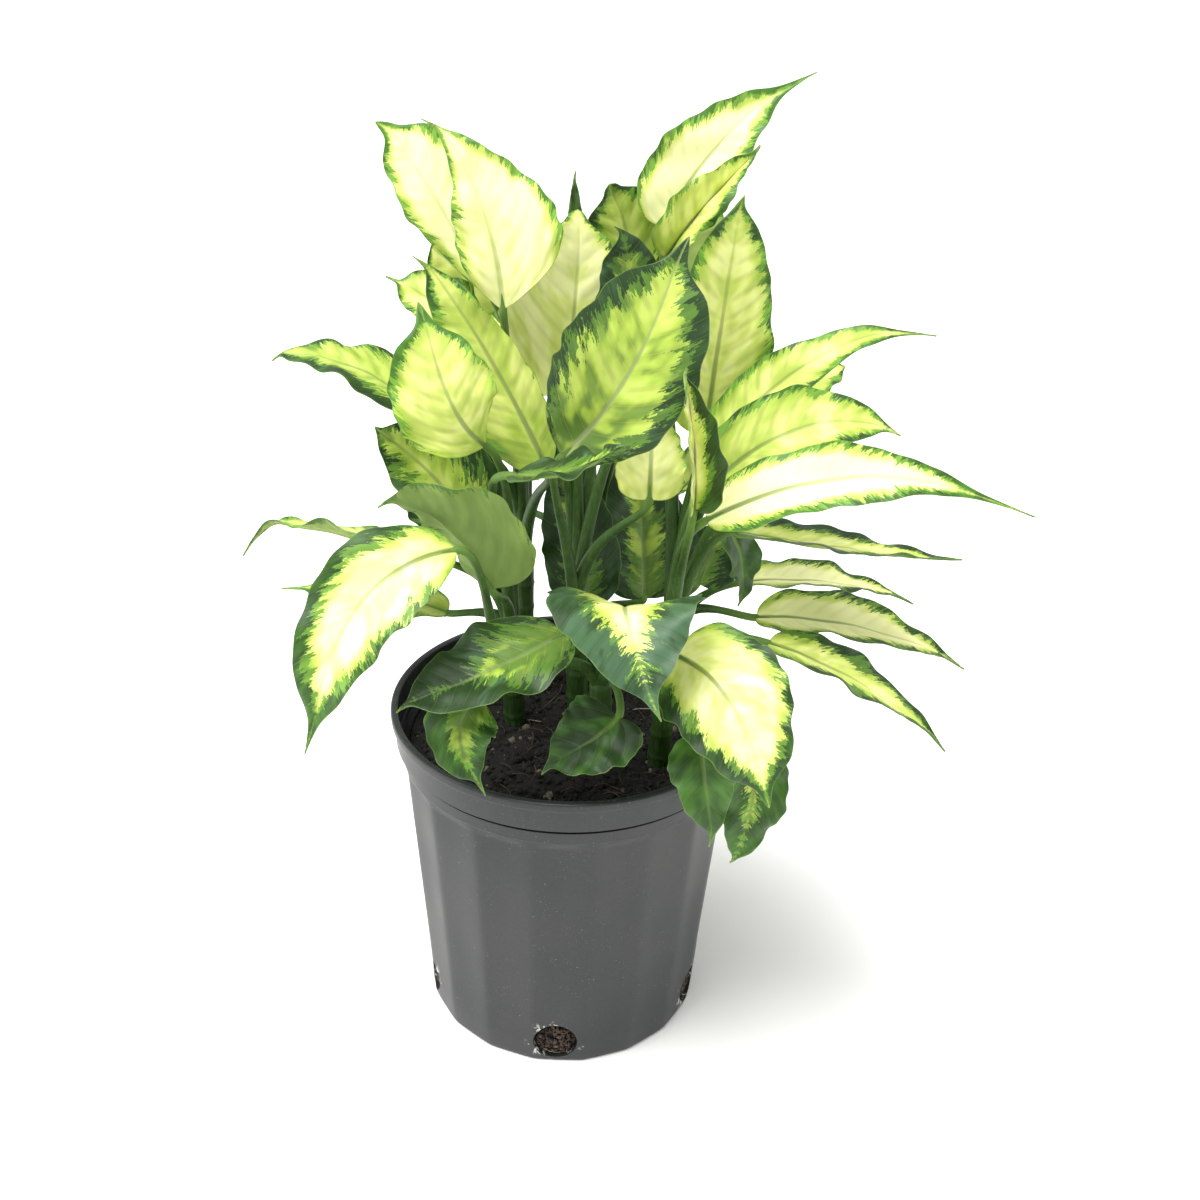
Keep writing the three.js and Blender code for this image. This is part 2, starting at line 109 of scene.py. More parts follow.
class Nodes:
    """Adds nodes to one shader or geometry tree and joins them."""

    NOISE_LOW = 0.3
    NOISE_HIGH = 0.7

    def __init__(self, tree: bpy.types.NodeTree) -> None:
        """Keeps the tree and empties it."""
        self.tree = tree
        tree.nodes.clear()

    def add(self, kind: str, *inputs: Any, **settings: Any) -> bpy.types.Node:
        """Adds a node.

        Args:
            kind: the node's type name.
            inputs: a value or a socket for each input in turn, or None to leave it.
            settings: the node's own properties.

        Returns:
            The new node.
        """
        node = self.tree.nodes.new(kind)
        for name, value in settings.items():
            setattr(node, name, value)
        for place, value in enumerate(inputs):
            self.feed(node.inputs[place], value)
        return node

    def feed(self, socket: Socket, value: Any) -> None:
        """Fills a socket.

        Args:
            socket: the input to fill.
            value: a socket to join, a plain value, a colour's six digits, or None to leave it.
        """
        if isinstance(value, Socket):
            self.tree.links.new(value, socket)
        elif value is not None:
            socket.default_value = linear(value) if socket.type == "RGBA" else value

    def math(self, operation: str, *inputs: Any) -> Socket:
        """The result of one arithmetic node."""
        return self.add("ShaderNodeMath", *inputs, operation=operation).outputs[0]

    def plus(self, first: Any, second: Any) -> Socket:
        """The sum of two values."""
        return self.math("ADD", first, second)

    def less(self, first: Any, second: Any) -> Socket:
        """The first value less the second."""
        return self.math("SUBTRACT", first, second)

    def times(self, first: Any, second: Any) -> Socket:
        """The product of two values."""
        return self.math("MULTIPLY", first, second)

    def spread(self, value: Any, low: Any, high: Any, start: Any = 0.0, end: Any = 1.0,
               smooth_step: bool = True) -> Socket:
        """Maps a value from low to high onto start to end, held at both ends, in an S-shape or straight."""
        kind = "SMOOTHSTEP" if smooth_step else "LINEAR"
        return self.add("ShaderNodeMapRange", value, low, high, start, end,
                        interpolation_type=kind).outputs[0]

    def vary(self, pattern: Any, start: Any, end: Any, smooth_step: bool = True) -> Socket:
        """Maps the range that a noise pattern mostly keeps to, so that it runs from start to end."""
        return self.spread(pattern, self.NOISE_LOW, self.NOISE_HIGH, start, end, smooth_step)

    def mix(self, factor: Any, first: Any, second: Any) -> Socket:
        """A blend of two colours, with the factor's share of the second."""
        inputs = (factor, None, None, None, None, None, first, second)
        return self.add("ShaderNodeMix", *inputs, data_type="RGBA").outputs[2]

    def shade(self, colour: Any, amount: Any) -> Socket:
        """A colour made lighter or darker by a factor."""
        return self.add("ShaderNodeHueSaturation", None, None, amount, None, colour).outputs[0]

    def vector(self, *parts: Any) -> Socket:
        """A vector put together from its three parts."""
        return self.add("ShaderNodeCombineXYZ", *parts).outputs[0]

    def parts(self, vector: Any) -> Sequence[Socket]:
        """The three parts of a vector."""
        return self.add("ShaderNodeSeparateXYZ", vector).outputs

    def noise(self, vector: Any, scale: float, detail: float = 3.0, roughness: float = 0.55) -> Socket:
        """Soft random values from 0 to 1, with as many finer layers as the detail says."""
        return self.add("ShaderNodeTexNoise", vector, None, scale, detail, roughness).outputs[0]

    def stretched(self, place: Any, across: float, along: float) -> Socket:
        """A place scaled for streaks that run up and down, longer where the scale along is less."""
        return self.add("ShaderNodeMapping", place, None, None, (across, across, along)).outputs[0]

    def attribute(self, name: str, plain: bool = False) -> Socket:
        """A value kept on the piece's own mesh, as a vector or as a plain number."""
        node = self.add("ShaderNodeAttribute", attribute_name=name)
        return node.outputs["Fac" if plain else "Vector"]

    def place(self) -> Socket:
        """Where a point lies in its object, in metres."""
        return self.add("ShaderNodeTexCoord").outputs["Object"]


def surface(name: str, roughness: float, **constants: float) -> tuple[Material, Nodes, Any]:
    """Begins a material whose colour comes from nodes.

    Args:
        name: the material's name.
        roughness: the shader's roughness where nothing else sets it.
        constants: other shader sockets, with underscores for spaces.

    Returns:
        The material, its nodes and its shader.
    """
    material = bpy.data.materials.new(name)
    material.use_nodes = True
    nodes = Nodes(material.node_tree)
    shader = nodes.add("ShaderNodeBsdfPrincipled")
    output = nodes.add("ShaderNodeOutputMaterial")
    material.node_tree.links.new(shader.outputs[0], output.inputs[0])
    shader.inputs["Roughness"].default_value = roughness
    for socket, value in constants.items():
        shader.inputs[socket.replace("_", " ")].default_value = value
    return material, nodes, shader


def relief(nodes: Nodes, shader: Any, height: Any, depth_mm: float, strength: float = 1.0) -> None:
    """Gives a shader a fine bump.

    Args:
        nodes: the material's nodes.
        shader: the shader to bump.
        height: the pattern, from 0 to 1.
        depth_mm: how deep the pattern is.
        strength: how much of it shows.
    """
    bump = nodes.add("ShaderNodeBump")
    bump.inputs["Strength"].default_value = strength
    bump.inputs["Distance"].default_value = depth_mm * MM
    nodes.feed(bump.inputs["Height"], height)
    nodes.feed(shader.inputs["Normal"], bump.outputs[0])


# Objects and meshes


def new_object(name: str, data: bpy.types.ID) -> Piece:
    """Puts a mesh, a light or a camera into the scene, as an object at the origin."""
    made = bpy.data.objects.new(name, data)
    bpy.context.collection.objects.link(made)
    return made


def mesh_piece(name: str, points: Array, faces: Sequence[Sequence[int]],
               materials: Sequence[Material], edges: Sequence[Sequence[int]] = (),
               sharp_deg: float | None = 60.0) -> Piece:
    """Makes an object at the origin from points in millimetres.

    Args:
        name: the object's name.
        points: one row of X, Y and Z for each point.
        faces: the points of each face.
        materials: the object's material slots.
        edges: loose edges, for a line that a tree sweeps.
        sharp_deg: corners sharper than this stay sharp, or None for flat faces.

    Returns:
        The new object, in the scene.
    """
    mesh = bpy.data.meshes.new(name)
    mesh.from_pydata((np.asarray(points) * MM).tolist(), list(edges), list(faces))
    mesh.validate()
    for material in materials:
        mesh.materials.append(material)
    if sharp_deg is not None and len(mesh.polygons):
        smooth_faces(mesh, sharp_deg)
    mesh.update()
    return new_object(name, mesh)


def smooth_faces(mesh: Mesh, sharp_deg: float) -> None:
    """Shades a mesh smooth, but for corners sharper than an angle."""
    mesh.polygons.foreach_set("use_smooth", [True] * len(mesh.polygons))
    mesh.set_sharp_from_angle(angle=math.radians(sharp_deg))


def keep(mesh: Mesh, name: str, values: Array) -> None:
    """Keeps a number or a vector for each point of a mesh, for its material or its tree to read."""
    kind, part = ("FLOAT", "value") if values.ndim == 1 else ("FLOAT_VECTOR", "vector")
    mesh.attributes.new(name, kind, "POINT").data.foreach_set(part, values.astype(np.float32).ravel())


def ring_faces(rings: int, sides: int, first: int = 0) -> list[list[int]]:
    """The faces of a skin of closed rings of points, one ring after the next.

    Args:
        rings: how many rings.
        sides: how many points each ring has.
        first: the number of the first ring's first point.

    Returns:
        The four points of each face.
    """
    faces = []
    for ring in range(rings - 1):
        low = first + ring * sides
        high = low + sides
        for side in range(sides):
            after = (side + 1) % sides
            faces.append([low + side, low + after, high + after, high + side])
    return faces


def closed_faces(rings: int, sides: int) -> list[list[int]]:
    """The faces of a skin of rings that closes at both ends on a point of its own.

    Args:
        rings: how many rings.
        sides: how many points each ring has.

    Returns:
        The points of each face. Point 0 closes the first ring, point 1 the last, and the rings follow.
    """
    faces = ring_faces(rings, sides, 2)
    last = 2 + (rings - 1) * sides
    for side in range(sides):
        after = (side + 1) % sides
        faces.append([0, 2 + after, 2 + side])
        faces.append([1, last + side, last + after])
    return faces


def seat(piece: Piece, slot: str, *nodes: str) -> None:
    """Ties a finished piece to the frame.

    Args:
        piece: the piece, in place.
        slot: the name of a material slot; not used.
        nodes: the CAD nodes that it stands for.
    """
    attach(piece, BODY)
    if nodes:
        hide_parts(*nodes)
    piece.data.calc_loop_triangles()
    stands_for = ", ".join(nodes) or "detail"
    LOG.info("%s: %d triangles, for %s", piece.name, len(piece.data.loop_triangles), stands_for)


# Geometry trees


class ShapeTree:
    """A geometry tree with named inputs, run once on a host object and turned into a plain mesh."""

    def __init__(self, name: str) -> None:
        """Begins the tree with its geometry going in and coming out.

        Args:
            name: the tree's name.
        """
        self.tree = bpy.data.node_groups.new(name, "GeometryNodeTree")
        for way in ("INPUT", "OUTPUT"):
            self.tree.interface.new_socket("Geometry", in_out=way, socket_type="NodeSocketGeometry")
        self.keys: dict[str, str] = {}
        self.nodes = Nodes(self.tree)
        self.start = self.nodes.add("NodeGroupInput")

    @property
    def geometry(self) -> Socket:
        """The geometry of the host."""
        return self.start.outputs[0]

    def number(self, name: str, whole: bool = False) -> Socket:
        """Adds a named input for a size or a count.

        Args:
            name: the input's name.
            whole: whether it is a whole number.

        Returns:
            The input's socket inside the tree.
        """
        kind = "NodeSocketInt" if whole else "NodeSocketFloat"
        item = self.tree.interface.new_socket(name, in_out="INPUT", socket_type=kind)
        self.keys[name] = item.identifier
        return next(socket for socket in self.start.outputs if socket.identifier == item.identifier)

    def named(self, name: str) -> Socket:
        """A number kept on the host's points."""
        node = self.nodes.add("GeometryNodeInputNamedAttribute", name, data_type="FLOAT")
        return node.outputs[0]

    def finish(self, geometry: Socket, material: Material) -> None:
        """Ends the tree: real geometry, smooth, with its material.

        Args:
            geometry: the finished shape.
            material: its material.
        """
        real = self.nodes.add("GeometryNodeRealizeInstances", geometry)
        even = self.nodes.add("GeometryNodeSetShadeSmooth", real.outputs[0])
        dressed = self.nodes.add("GeometryNodeSetMaterial", even.outputs[0])
        dressed.inputs["Material"].default_value = material
        self.nodes.add("NodeGroupOutput", dressed.outputs[0])

    def run(self, host: Piece, **sizes: float) -> Piece:
        """Runs the tree on a host and puts a plain mesh in its place.

        Args:
            host: the object that carries the points or the surface.
            sizes: the named inputs.

        Returns:
            A new object of the host's name.
        """
        modifier = host.modifiers.new(self.tree.name, "NODES")
        modifier.node_group = self.tree
        for name, value in sizes.items():
            modifier[self.keys[name]] = value
        graph = bpy.context.evaluated_depsgraph_get()
        mesh = bpy.data.meshes.new_from_object(
            host.evaluated_get(graph), preserve_all_data_layers=True, depsgraph=graph)
        name = host.name
        host.modifiers.remove(modifier)
        bpy.data.objects.remove(host)
        mesh.name = name
        return new_object(name, mesh)


def swept_tree(material: Material) -> ShapeTree:
    """Makes a tree that sweeps a round section along the host's lines, as thick as each point says.

    Args:
        material: the swept skin's material.

    Returns:
        The tree, with the section's number of sides as an input.
    """
    shape = ShapeTree("swept_" + material.name)
    nodes = shape.nodes
    sides = shape.number("Sides", whole=True)
    line = nodes.add("GeometryNodeMeshToCurve", shape.geometry)
    section = nodes.add("GeometryNodeCurvePrimitiveCircle", sides)
    section.inputs["Radius"].default_value = 1.0
    swept = nodes.add("GeometryNodeCurveToMesh", line.outputs[0], section.outputs[0])
    nodes.feed(swept.inputs["Scale"], shape.named("thickness"))
    swept.inputs["Fill Caps"].default_value = True
    shape.finish(swept.outputs[0], material)
    return shape


# How the leaves are coloured


@dataclass(frozen=True)
class Look:
    """How one kind of leaf is variegated.

    left and right are the pale shares of the blade's two halves, and end is where along it the pale
    part closes, the more suddenly the greater taper is. feather is how far the border breaks up, in
    millimetres. centre runs from lime at 0 to cream at 1, green from fresh at 0 to deep at 1, and
    rib from a green midrib at 0 to a pale one at 1, and below 0 a faint one.
    """

    left: float
    right: float
    end: float
    feather: float
    centre: float
    green: float
    rib: float
    taper: float = 7.0


class Tone(Enum):
    """The kinds of leaf on this plant, from nearly all cream to plain green; SHADED paints shade onto the
    leaves inside the plant.
    """

    CREAM = Look(0.88, 0.92, 1.03, 2.2, 0.95, 0.1, -0.8)
    WHITE = Look(0.86, 0.76, 0.93, 2.6, 1.25, 0.4, 0.0)
    SUNLIT = Look(0.86, 0.72, 0.97, 2.6, 0.8, 0.7, 0.0)
    DROOPED = Look(0.86, 0.7, 0.9, 2.8, 0.88, 0.6, 0.2)
    BUTTER = Look(0.86, 0.8, 1.02, 2.2, 0.45, 0.5, 0.3)
    BRIGHT = Look(0.86, 0.86, 0.97, 2.6, 0.5, 0.5, 0.1)
    WASHED = Look(0.86, 1.1, 0.97, 2.6, 0.38, 0.4, 0.5)
    SPREAD = Look(0.96, 1.04, 0.95, 3.4, 0.5, 0.2, 0.6)
    BUTTERY = Look(0.8, 0.74, 0.97, 2.8, 1.1, 0.8, 0.3)
    SLENDER = Look(0.62, 0.6, 0.97, 2.6, 0.62, 0.9, 0.3)
    SPLIT = Look(1.1, 0.4, 1.05, 2.4, 0.8, 0.8, 0.3)
    LIME = Look(0.84, 0.74, 0.97, 2.8, 0.42, 0.8, 0.6)
    STREAKED = Look(0.74, 0.68, 0.94, 4.2, 0.08, 0.95, 0.9)
    STRIPED = Look(0.96, 1.0, 1.02, 3.4, 0.6, 0.4, 0.5)
    FEATHERED = Look(0.5, 0.54, 0.97, 4.8, 0.25, 0.85, 0.7)
    FROSTED = Look(0.7, 0.66, 0.82, 4.2, 0.86, 1.3, 0.4, 1.5)
    DARK = Look(0.56, 0.52, 0.8, 4.2, 0.0, 1.0, 0.3, 3.0)
    GLOOMY = Look(0.66, 0.6, 0.54, 6.0, -0.2, 1.0, 0.4, 2.4)
    OLIVE = Look(1.0, 0.95, 1.05, 5.0, -0.35, 0.6, 0.5)
    NEW = Look(-0.6, -0.6, 9.0, 1.0, 0.0, 0.74, 0.1)
    MUTED = Look(0.5, 0.4, 0.8, 2.8, -0.15, 0.5, 0.3, 2.5)
    HANGING = Look(0.26, 0.2, 0.66, 4.2, 0.3, 0.5, 0.4, 1.6)
    DULL = Look(0.5, 0.74, 0.96, 3.2, 0.1, 0.6, 0.6)
    EDGED = Look(0.74, 0.7, 1.0, 2.8, 0.2, 0.7, 0.4)
    FADED = Look(1.1, 1.0, 1.1, 2.6, 0.75, 0.4, 0.0)
    # painted shade: a dark look over a barely pale pattern, for the leaves inside the plant where shade falls
    SHADED = Look(0.22, 0.3, 0.84, 4.0, -0.3, 1.0, 0.3)
    PLAIN = Look(-0.3, -0.3, 9.0, 2.0, 0.0, 0.45, 0.3)


@dataclass(frozen=True)
class LeafColours:
    """Screen colours of the blades."""

    deep_green: str = "243c1b"
    blue_green: str = "49694a"
    fresh_green: str = "4c7a29"
    border_green: str = "76a43a"
    moss: str = "607f34"
    lime: str = "a6be49"
    butter: str = "d4dd78"
    cream: str = "f7f7b8"
    green_rib: str = "647f34"
    pale_rib: str = "98a470"
    edge_line: str = "6f8c45"
    under_green: str = "4b6a34"
    under_pale: str = "758c49"


class BladePaint:
    """The colour of one face of the blades: a pale centre whose border breaks up into a green margin, with
    painted shade in the furrows along the side veins.

    It is painted from what the blade's mesh keeps. away is the way from the midrib and vein the place
    along it. border is how far inside the pale part's border a point lies, and inside how far inside
    the margin. STREAKS has the grain along and across the veins and the weight of each size of
    streak, and RIB_HALF_WIDTH is at the base and at the tip. Lengths are in millimetres.
    """

    STREAKS = ((0.16, 0.06, 0.9), (0.5, 0.2, 0.6), (1.1, 0.5, 0.5), (2.3, 1.6, 0.28))
    CLOUD_GRAIN = 0.09
    SECOND_PATTERN = 40.0
    SECOND_BORDER = 0.75
    BLUE_SHARE = 0.85
    FURROW_LIGHT = 1.04
    FURROW_PAINTED_SHADE = 0.22
    VEIN_LINE = 0.16
    RIB_HALF_WIDTH = (1.35, 0.45)
    RIB_AT_BASE = (0.3, 0.85)
    RIB_AT_TIP = (0.1, 0.6)
    EDGE_LINE = 0.5
    UNDER_SHARE = 0.82

    def __init__(self, nodes: Nodes) -> None:
        """Reads what the mesh keeps.

        Args:
            nodes: the material's nodes.
        """
        self.nodes = nodes
        self.look = LeafColours()
        self.away, self.vein, self.seed = nodes.parts(nodes.attribute("lay"))
        self.border, self.feather, self.inside = nodes.parts(nodes.attribute("mark"))
        self.centre, self.depth, self.rib = nodes.parts(nodes.attribute("tone"))
        self.way = nodes.attribute("way", plain=True)
        self.cloud = nodes.noise(self.drift(self.CLOUD_GRAIN, self.CLOUD_GRAIN, self.seed), 1.0, 2.0)
        self.green = nodes.spread(self.broken(self.border, 0.0), -0.5, 0.5, 1.0, 0.0)

    def drift(self, along: float, across: float, seed: Any) -> Socket:
        """Where a pattern of a grain along and across the veins is read, set apart by a seed."""
        nodes = self.nodes
        return nodes.vector(nodes.times(self.vein, along), nodes.times(self.away, across), seed)

    def broken(self, border: Any, shift: float) -> Socket:
        """A border broken up into flames, streaks and flecks, by a pattern that the shift sets apart."""
        return self.nodes.plus(border, self.nodes.times(self.feather, self.ragged(shift)))

    def ragged(self, shift: float) -> Socket:
        """A pattern of streaks from about -1 to 1.

        Args:
            shift: a number that sets this pattern apart from another on the same leaf.

        Returns:
            The pattern's socket.
        """
        nodes = self.nodes
        total: Any = 0.0
        for along, across, weight in self.STREAKS:
            place = self.drift(along, across, nodes.plus(self.seed, shift + along))
            streaks = nodes.vary(nodes.noise(place, 1.0, 1.0), -weight, weight, smooth_step=False)
            total = nodes.plus(total, streaks)
        return total

    def pale(self) -> Socket:
        """The pale part: lime by its border and its base, butter and cream further in.

        Returns:
            The colour's socket.
        """
        nodes, look = self.nodes, self.look
        border_reach = nodes.times(self.feather, 2.2)
        ripe = nodes.times(self.centre, nodes.spread(self.border, 0.0, border_reach, 0.35, 1.0))
        ripe = nodes.plus(ripe, nodes.spread(self.cloud, 0.34, 0.66, -0.2, 0.2))
        ripe = nodes.plus(ripe, nodes.spread(self.way, 0.0, 0.4, -0.24, 0.0))
        low = nodes.mix(nodes.spread(ripe, -0.25, 0.12), look.moss, look.lime)
        warm = nodes.mix(nodes.spread(ripe, 0.1, 0.52, smooth_step=False), low, look.butter)
        return nodes.mix(nodes.spread(ripe, 0.5, 1.0, smooth_step=False), warm, look.cream)

    def variegation(self) -> Socket:
        """The pale part, the green margin, and a second ragged border where they meet.

        Returns:
            The colour's socket.
        """
        nodes, look = self.nodes, self.look
        rich = nodes.plus(self.depth, nodes.vary(self.cloud, -0.25, 0.25))
        deep = nodes.mix(nodes.spread(rich, 0.1, 0.9), look.fresh_green, look.deep_green)
        deep = nodes.mix(nodes.spread(rich, 1.0, 1.4, 0.0, self.BLUE_SHARE), deep, look.blue_green)
        between = nodes.mix(nodes.spread(self.depth, 0.2, 1.1, 0.0, 0.6), look.border_green, deep)
        blade = nodes.mix(self.green, self.pale(), between)
        further = nodes.plus(self.border, nodes.times(self.feather, self.SECOND_BORDER))
        second = self.broken(further, self.SECOND_PATTERN)
        return nodes.mix(nodes.spread(second, -0.6, 0.6, 1.0, 0.0), blade, deep)

    def veins(self, blade: Any) -> Socket:
        """Paints shade into the furrows along the side veins and draws the veins, faintly where the blade is
        cream.

        Args:
            blade: the blade's colour so far.

        Returns:
            The new colour's socket.
        """
        nodes, look = self.nodes, self.look
        line = nodes.math("PINGPONG", nodes.math("DIVIDE", self.vein, SIDE_VEIN_GAP), 0.5)
        furrow_shade_mask = nodes.times(nodes.spread(line, 0.0, 0.3, 1.0, 0.0), nodes.spread(self.away, 1.0, 5.0))
        calm = nodes.spread(nodes.times(self.centre, nodes.less(1.0, self.green)), 0.2, 0.9, 1.0, 0.35)
        # painted shade: the blade's colour is darkened in the sunken furrows along the side veins
        shade = nodes.times(furrow_shade_mask, nodes.times(calm, self.FURROW_PAINTED_SHADE))
        blade = nodes.shade(blade, nodes.less(self.FURROW_LIGHT, shade))
        drawn = nodes.times(nodes.spread(line, 0.0, 0.05, self.VEIN_LINE, 0.0), calm)
        return nodes.mix(drawn, blade, nodes.mix(self.green, look.butter, look.border_green))

    def midrib(self, blade: Any) -> Socket:
        """Colours the midrib, which narrows and fades towards the tip.

        Args:
            blade: the blade's colour so far.

        Returns:
            The new colour's socket.
        """
        nodes, look = self.nodes, self.look
        reach = nodes.spread(self.way, 0.0, 1.0, *self.RIB_HALF_WIDTH, smooth_step=False)
        at_base = nodes.spread(self.rib, -1.0, 0.0, *self.RIB_AT_BASE)
        at_tip = nodes.spread(self.rib, 0.0, 1.0, *self.RIB_AT_TIP)
        strength = nodes.spread(self.way, 0.0, 0.9, at_base, at_tip)
        on_rib = nodes.spread(nodes.math("DIVIDE", self.away, reach), 0.5, 1.3, strength, 0.0)
        return nodes.mix(on_rib, blade, nodes.mix(self.rib, look.green_rib, look.pale_rib))

    def edge(self, blade: Any) -> Socket:
        """Draws the thin line along the margin over the blade's colour so far."""
        at_edge = self.nodes.spread(self.inside, 0.12, 0.4, self.EDGE_LINE, 0.0)
        return self.nodes.mix(at_edge, blade, self.look.edge_line)

    def underside(self, blade: Any) -> Socket:
        """Lays the duller greens of the lower face over the markings.

        Args:
            blade: the blade's colour so far.

        Returns:
            The new colour's socket.
        """
        nodes = self.nodes
        under = nodes.mix(self.green, self.look.under_pale, self.look.under_green)
        under = nodes.shade(under, nodes.vary(self.cloud, 0.88, 1.12))
        return nodes.mix(self.UNDER_SHARE, blade, under)


class LeafFinish:
    """The blades' materials: waxy above, duller and rougher below, with light shining through."""

    PORE_GRAIN = 1500.0
    PORE_DEPTH = 0.08
    GLOW_REACH = (0.8, 1.0, 0.35)

    def __init__(self) -> None:
        """Makes the upper and the lower material."""
        self.upper = self.make("leaf_upper", is_upper=True)
        self.lower = self.make("leaf_lower", is_upper=False)

    def make(self, name: str, is_upper: bool) -> Material:
        """Makes one face's material.

        Args:
            name: the material's name.
            is_upper: whether it is for the upper face.

        Returns:
            The material.
        """
        material, nodes, shader = surface(
            name, 0.47 if is_upper else 0.6, Coat_Weight=0.04 if is_upper else 0.0,
            Coat_Roughness=0.35, Specular_IOR_Level=0.3 if is_upper else 0.2,
            Subsurface_Weight=0.2, Subsurface_Scale=0.001)
        shader.inputs["Subsurface Radius"].default_value = self.GLOW_REACH
        paint = BladePaint(nodes)
        blade = paint.edge(paint.midrib(paint.veins(paint.variegation())))
        nodes.feed(shader.inputs["Base Color"], blade if is_upper else paint.underside(blade))
        pores = nodes.noise(nodes.place(), self.PORE_GRAIN, 2.0)
        relief(nodes, shader, pores, self.PORE_DEPTH, 0.4 if is_upper else 0.8)
        return material


# The blades


@dataclass
class Leaf:
    """One leaf: its midrib's base, middle and tip, its width, and the way its upper side faces."""

    name: str
    base: Point
    middle: Point
    tip: Point
    width: float
    face: Point
    tone: Tone
    fold: float = 12.0
    twist: float = 0.0
    wave: float = 2.0
    waves: float = 2.5
    phase: float = 0.0
    cup: float = 0.0
    lobe: float = 0.15
    hook: Point = (0.0, 0.0, 0.0)
    left: float = 1.0
    right: float = 1.0
    rise: float = 0.5
    fall: float = 1.0
    via: Point | None = None

    HOOK_START = 0.8
    TWIST_MIDDLE = 0.4
    MARGIN_OFFSET = 0.4
    BASE_HALF_WIDTH = 1.5
    TIP_HALF_WIDTH = 0.5
    LENGTH_STEPS = 40
    DIRECTION_STEP = 0.01

    def midrib(self, s: Array) -> Array:
        """Points of the midrib.

        Args:
            s: how far along it each point is, from 0 at the base to 1 at the tip.

        Returns:
            The points.
        """
        base, middle, tip = (np.array(point, dtype=float) for point in (self.base, self.middle, self.tip))
        bend = 2.0 * middle - 0.5 * (base + tip)
        s = np.asarray(s, dtype=float)[..., None]
        hooked = np.maximum(0.0, (s - self.HOOK_START) / (1.0 - self.HOOK_START)) ** 2
        return base * (1 - s) ** 2 + bend * 2 * s * (1 - s) + tip * s ** 2 + np.array(self.hook) * hooked

    def length(self) -> float:
        """The midrib's length in millimetres."""
        line = self.midrib(np.linspace(0, 1, self.LENGTH_STEPS))
        return float(np.sum(np.linalg.norm(np.diff(line, axis=0), axis=1)))

    def direction(self, s: Array) -> Array:
        """The way the midrib runs.

        Args:
            s: how far along it, from 0 to 1.

        Returns:
            A unit vector for each place.
        """
        step = self.DIRECTION_STEP
        low = np.clip(np.asarray(s, dtype=float) - step, 0.0, 1.0 - 2.0 * step)
        return unit(self.midrib(low + 2.0 * step) - self.midrib(low))

    def half_width(self, s: Array, v: Array) -> Array:
        """Half the blade's width.

        Args:
            s: how far along the blade, from 0 to 1.
            v: how far across, whose sign tells the left half from the right one.

        Returns:
            Half the width at each place, on the side that v lies on.
        """
        widest = self.rise / (self.rise + self.fall)
        full = widest ** self.rise * (1.0 - widest) ** self.fall
        outline = s ** self.rise * (1.0 - s) ** self.fall / full
        share = np.where(v > 0.0, self.right, self.left)
        narrowest = self.BASE_HALF_WIDTH + (self.TIP_HALF_WIDTH - self.BASE_HALF_WIDTH) * s
        return np.maximum(narrowest, share * self.width * outline / 2.0)

    def surface(self, s: Array, v: Array, half: Array) -> Array:
        """Points of the blade's middle layer.

        Args:
            s: how far along the blade each point is, from 0 to 1.
            v: how far across, from the left margin at -1 to the right one at 1.
            half: half the blade's width at each point.

        Returns:
            The points.
        """
        along = self.direction(s)
        facing = np.array(self.face, dtype=float) * np.ones_like(along)
        facing = unit(facing - along * np.sum(facing * along, axis=-1, keepdims=True))
        angle = np.radians(self.twist * (s - self.TWIST_MIDDLE))[..., None]
        facing = facing * np.cos(angle) + np.cross(along, facing) * np.sin(angle)
        across = np.cross(along, facing)
        side = np.abs(v)
        fold = math.radians(self.fold)
        turn = self.waves * s + self.phase + np.where(v > 0.0, self.MARGIN_OFFSET, 0.0)
        ripple = self.wave * side ** 2 * np.sin(2 * np.pi * turn) * np.sin(np.pi * s)
        lift = half * (side * math.sin(fold) + self.cup * side ** 2) + ripple
        back = self.lobe * half * side ** 2 * (1.0 - s) ** 3
        return (self.midrib(s) + across * (half * v * math.cos(fold))[..., None]
                + facing * lift[..., None] - along * back[..., None])


